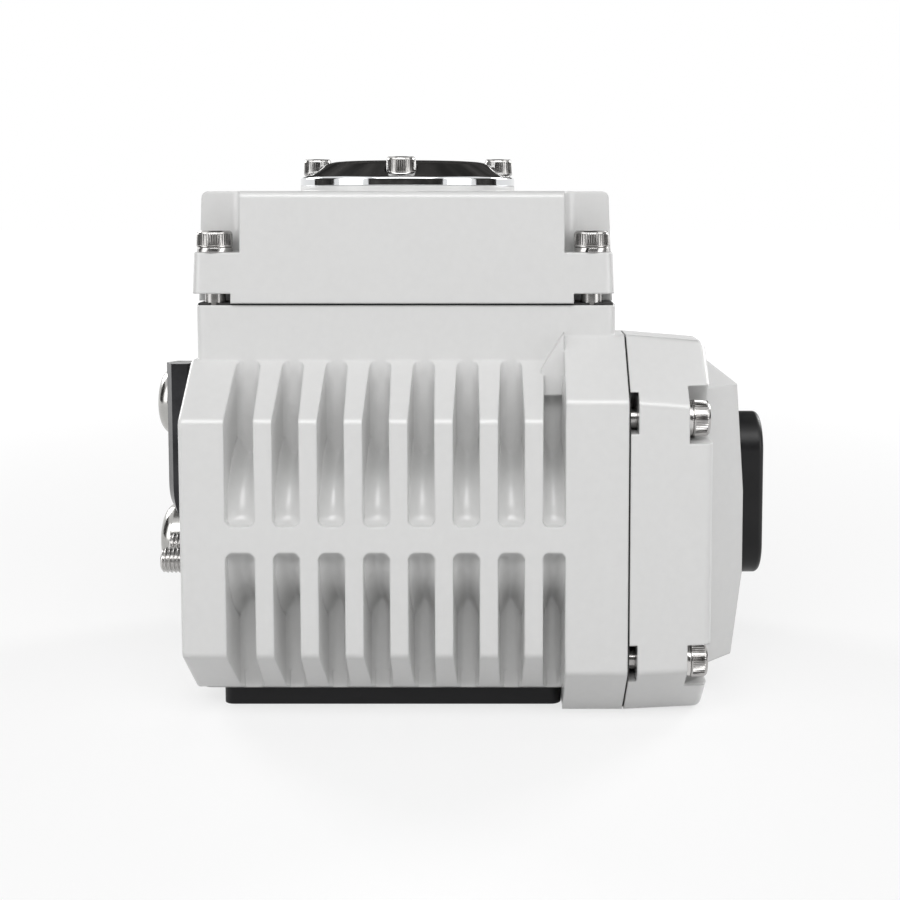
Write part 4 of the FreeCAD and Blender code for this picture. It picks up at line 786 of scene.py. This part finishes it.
def seen_directly(tree):
    """1 for rays from the camera, from gloss and through glass."""
    path = tree.nodes.new("ShaderNodeLightPath")
    first = tree.nodes.new("ShaderNodeMath")
    first.operation = "MAXIMUM"
    second = tree.nodes.new("ShaderNodeMath")
    second.operation = "MAXIMUM"
    tree.links.new(path.outputs["Is Camera Ray"], first.inputs[0])
    tree.links.new(path.outputs["Is Glossy Ray"], first.inputs[1])
    tree.links.new(first.outputs[0], second.inputs[0])
    tree.links.new(path.outputs["Is Transmission Ray"], second.inputs[1])
    return second.outputs[0]


def floor_material():
    """Matt pale floor: it keeps a soft shadow and glows a little where it is seen."""
    material, tree, shader = new_material("pale_floor")
    shader.inputs["Roughness"].default_value = 0.9
    shader.inputs["Specular IOR Level"].default_value = 0.0
    tone = tinted(tree, seen_directly(tree), FLOOR_TONE, SEEN_FLOOR_TONE)
    tree.links.new(tone, shader.inputs["Base Color"])
    shader.inputs["Emission Color"].default_value = (1, 1, 1, 1)
    coords = tree.nodes.new("ShaderNodeTexCoord")
    distance = tree.nodes.new("ShaderNodeVectorMath")
    distance.operation = "LENGTH"
    tree.links.new(coords.outputs["Object"], distance.inputs[0])
    glow = tree.nodes.new("ShaderNodeMapRange")
    glow.interpolation_type = "SMOOTHSTEP"
    glow.inputs["From Min"].default_value = GLOW_START
    glow.inputs["From Max"].default_value = GLOW_END
    glow.inputs["To Min"].default_value = NEAR_GLOW
    glow.inputs["To Max"].default_value = FAR_GLOW
    tree.links.new(distance.outputs["Value"], glow.inputs["Value"])
    scaled = tree.nodes.new("ShaderNodeMath")
    scaled.operation = "MULTIPLY"
    tree.links.new(seen_directly(tree), scaled.inputs[0])
    tree.links.new(glow.outputs["Result"], scaled.inputs[1])
    tree.links.new(scaled.outputs[0], shader.inputs["Emission Strength"])
    return material


def set_world():
    """White where it is seen, and a plain grey level for the light that it gives."""
    world = bpy.data.worlds.new("studio")
    bpy.context.scene.world = world
    world.use_nodes = True
    tree = world.node_tree
    background = tree.nodes["Background"]
    tone = tinted(tree, seen_directly(tree), ROOM_LEVEL, (1.0, 1.0, 1.0))
    tree.links.new(tone, background.inputs["Color"])
    background.inputs["Strength"].default_value = 1.0


def flag_material():
    """Black felt with soft folds, which show as faint streaks in the chrome."""
    material, tree, shader = new_material("black_felt")
    folds = spread(tree, noise(tree, 4, 2), 0, 1, 0.25)
    tone = tinted(tree, folds, (0.010, 0.010, 0.010), (0.11, 0.105, 0.10))
    tree.links.new(tone, shader.inputs["Base Color"])
    shader.inputs["Roughness"].default_value = 1.0
    shader.inputs["Specular IOR Level"].default_value = 0.0
    return material


def aim_at_centre(obj, place, axis):
    """Places a lamp or card in the studio; its local axis then points at the object."""
    obj.location = place
    direction = Vector(CENTRE) - Vector(place)
    obj.rotation_mode = "QUATERNION"
    obj.rotation_quaternion = direction.to_track_quat(axis, "Y")


def flag(name, place, width, height):
    """Black card of the studio, which the camera doesn't see."""
    obj = stage_plane(name, 1.0, place, FELT)
    obj.scale = (width, height, 1.0)
    aim_at_centre(obj, place, "Z")
    obj.visible_camera = False


def area_lamp(name, place, width, height, power):
    data = bpy.data.lights.new(name, "AREA")
    data.shape = "RECTANGLE"
    data.size = width
    data.size_y = height
    data.energy = power
    obj = bpy.data.objects.new(name, data)
    aim_at_centre(obj, place, "-Z")
    bpy.context.scene.collection.objects.link(obj)


def set_camera():
    data = bpy.data.cameras.new("camera")
    data.lens = LENS
    data.sensor_width = SENSOR
    data.shift_x, data.shift_y = SHIFT
    data.clip_start = 0.02
    data.clip_end = 50
    camera = bpy.data.objects.new("camera", data)
    camera.location = CAMERA_PLACE
    camera.rotation_euler = (math.radians(90 - PITCH), 0, 0)
    bpy.context.scene.collection.objects.link(camera)
    bpy.context.scene.camera = camera


stage_plane("floor", FLOOR_SIZE, (0, 0, 0), floor_material())
set_world()
FELT = flag_material()
flag("front_flag", (0.03, -1.05, 0.20), 1.7, 0.75)
flag("ceiling_flag", (0.0, 0.25, 1.15), 0.9, 1.1)
flag("rear_flag", (0.0, 0.95, 0.72), 1.1, 0.8)
flag("left_flag", (-1.25, 0.12, 0.30), 0.75, 0.9)
flag("right_flag", (1.30, 0.12, 0.30), 0.75, 0.9)
area_lamp("front_softbox", (0.0, -0.78, 0.80), 1.1, 0.5, FRONT_LAMP)
area_lamp("left_softbox", (-0.95, -0.60, 0.45), 0.6, 0.8, SIDE_LAMP)
area_lamp("right_softbox", (1.00, -0.60, 0.40), 0.6, 0.8, SIDE_LAMP)
area_lamp("left_rear_softbox", (-0.9, 0.7, 0.6), 0.4, 0.5, REAR_LAMP)
area_lamp("right_rear_softbox", (0.9, 0.7, 0.6), 0.4, 0.5, REAR_LAMP)
set_camera()
bpy.context.scene.view_settings.view_transform = "Standard"
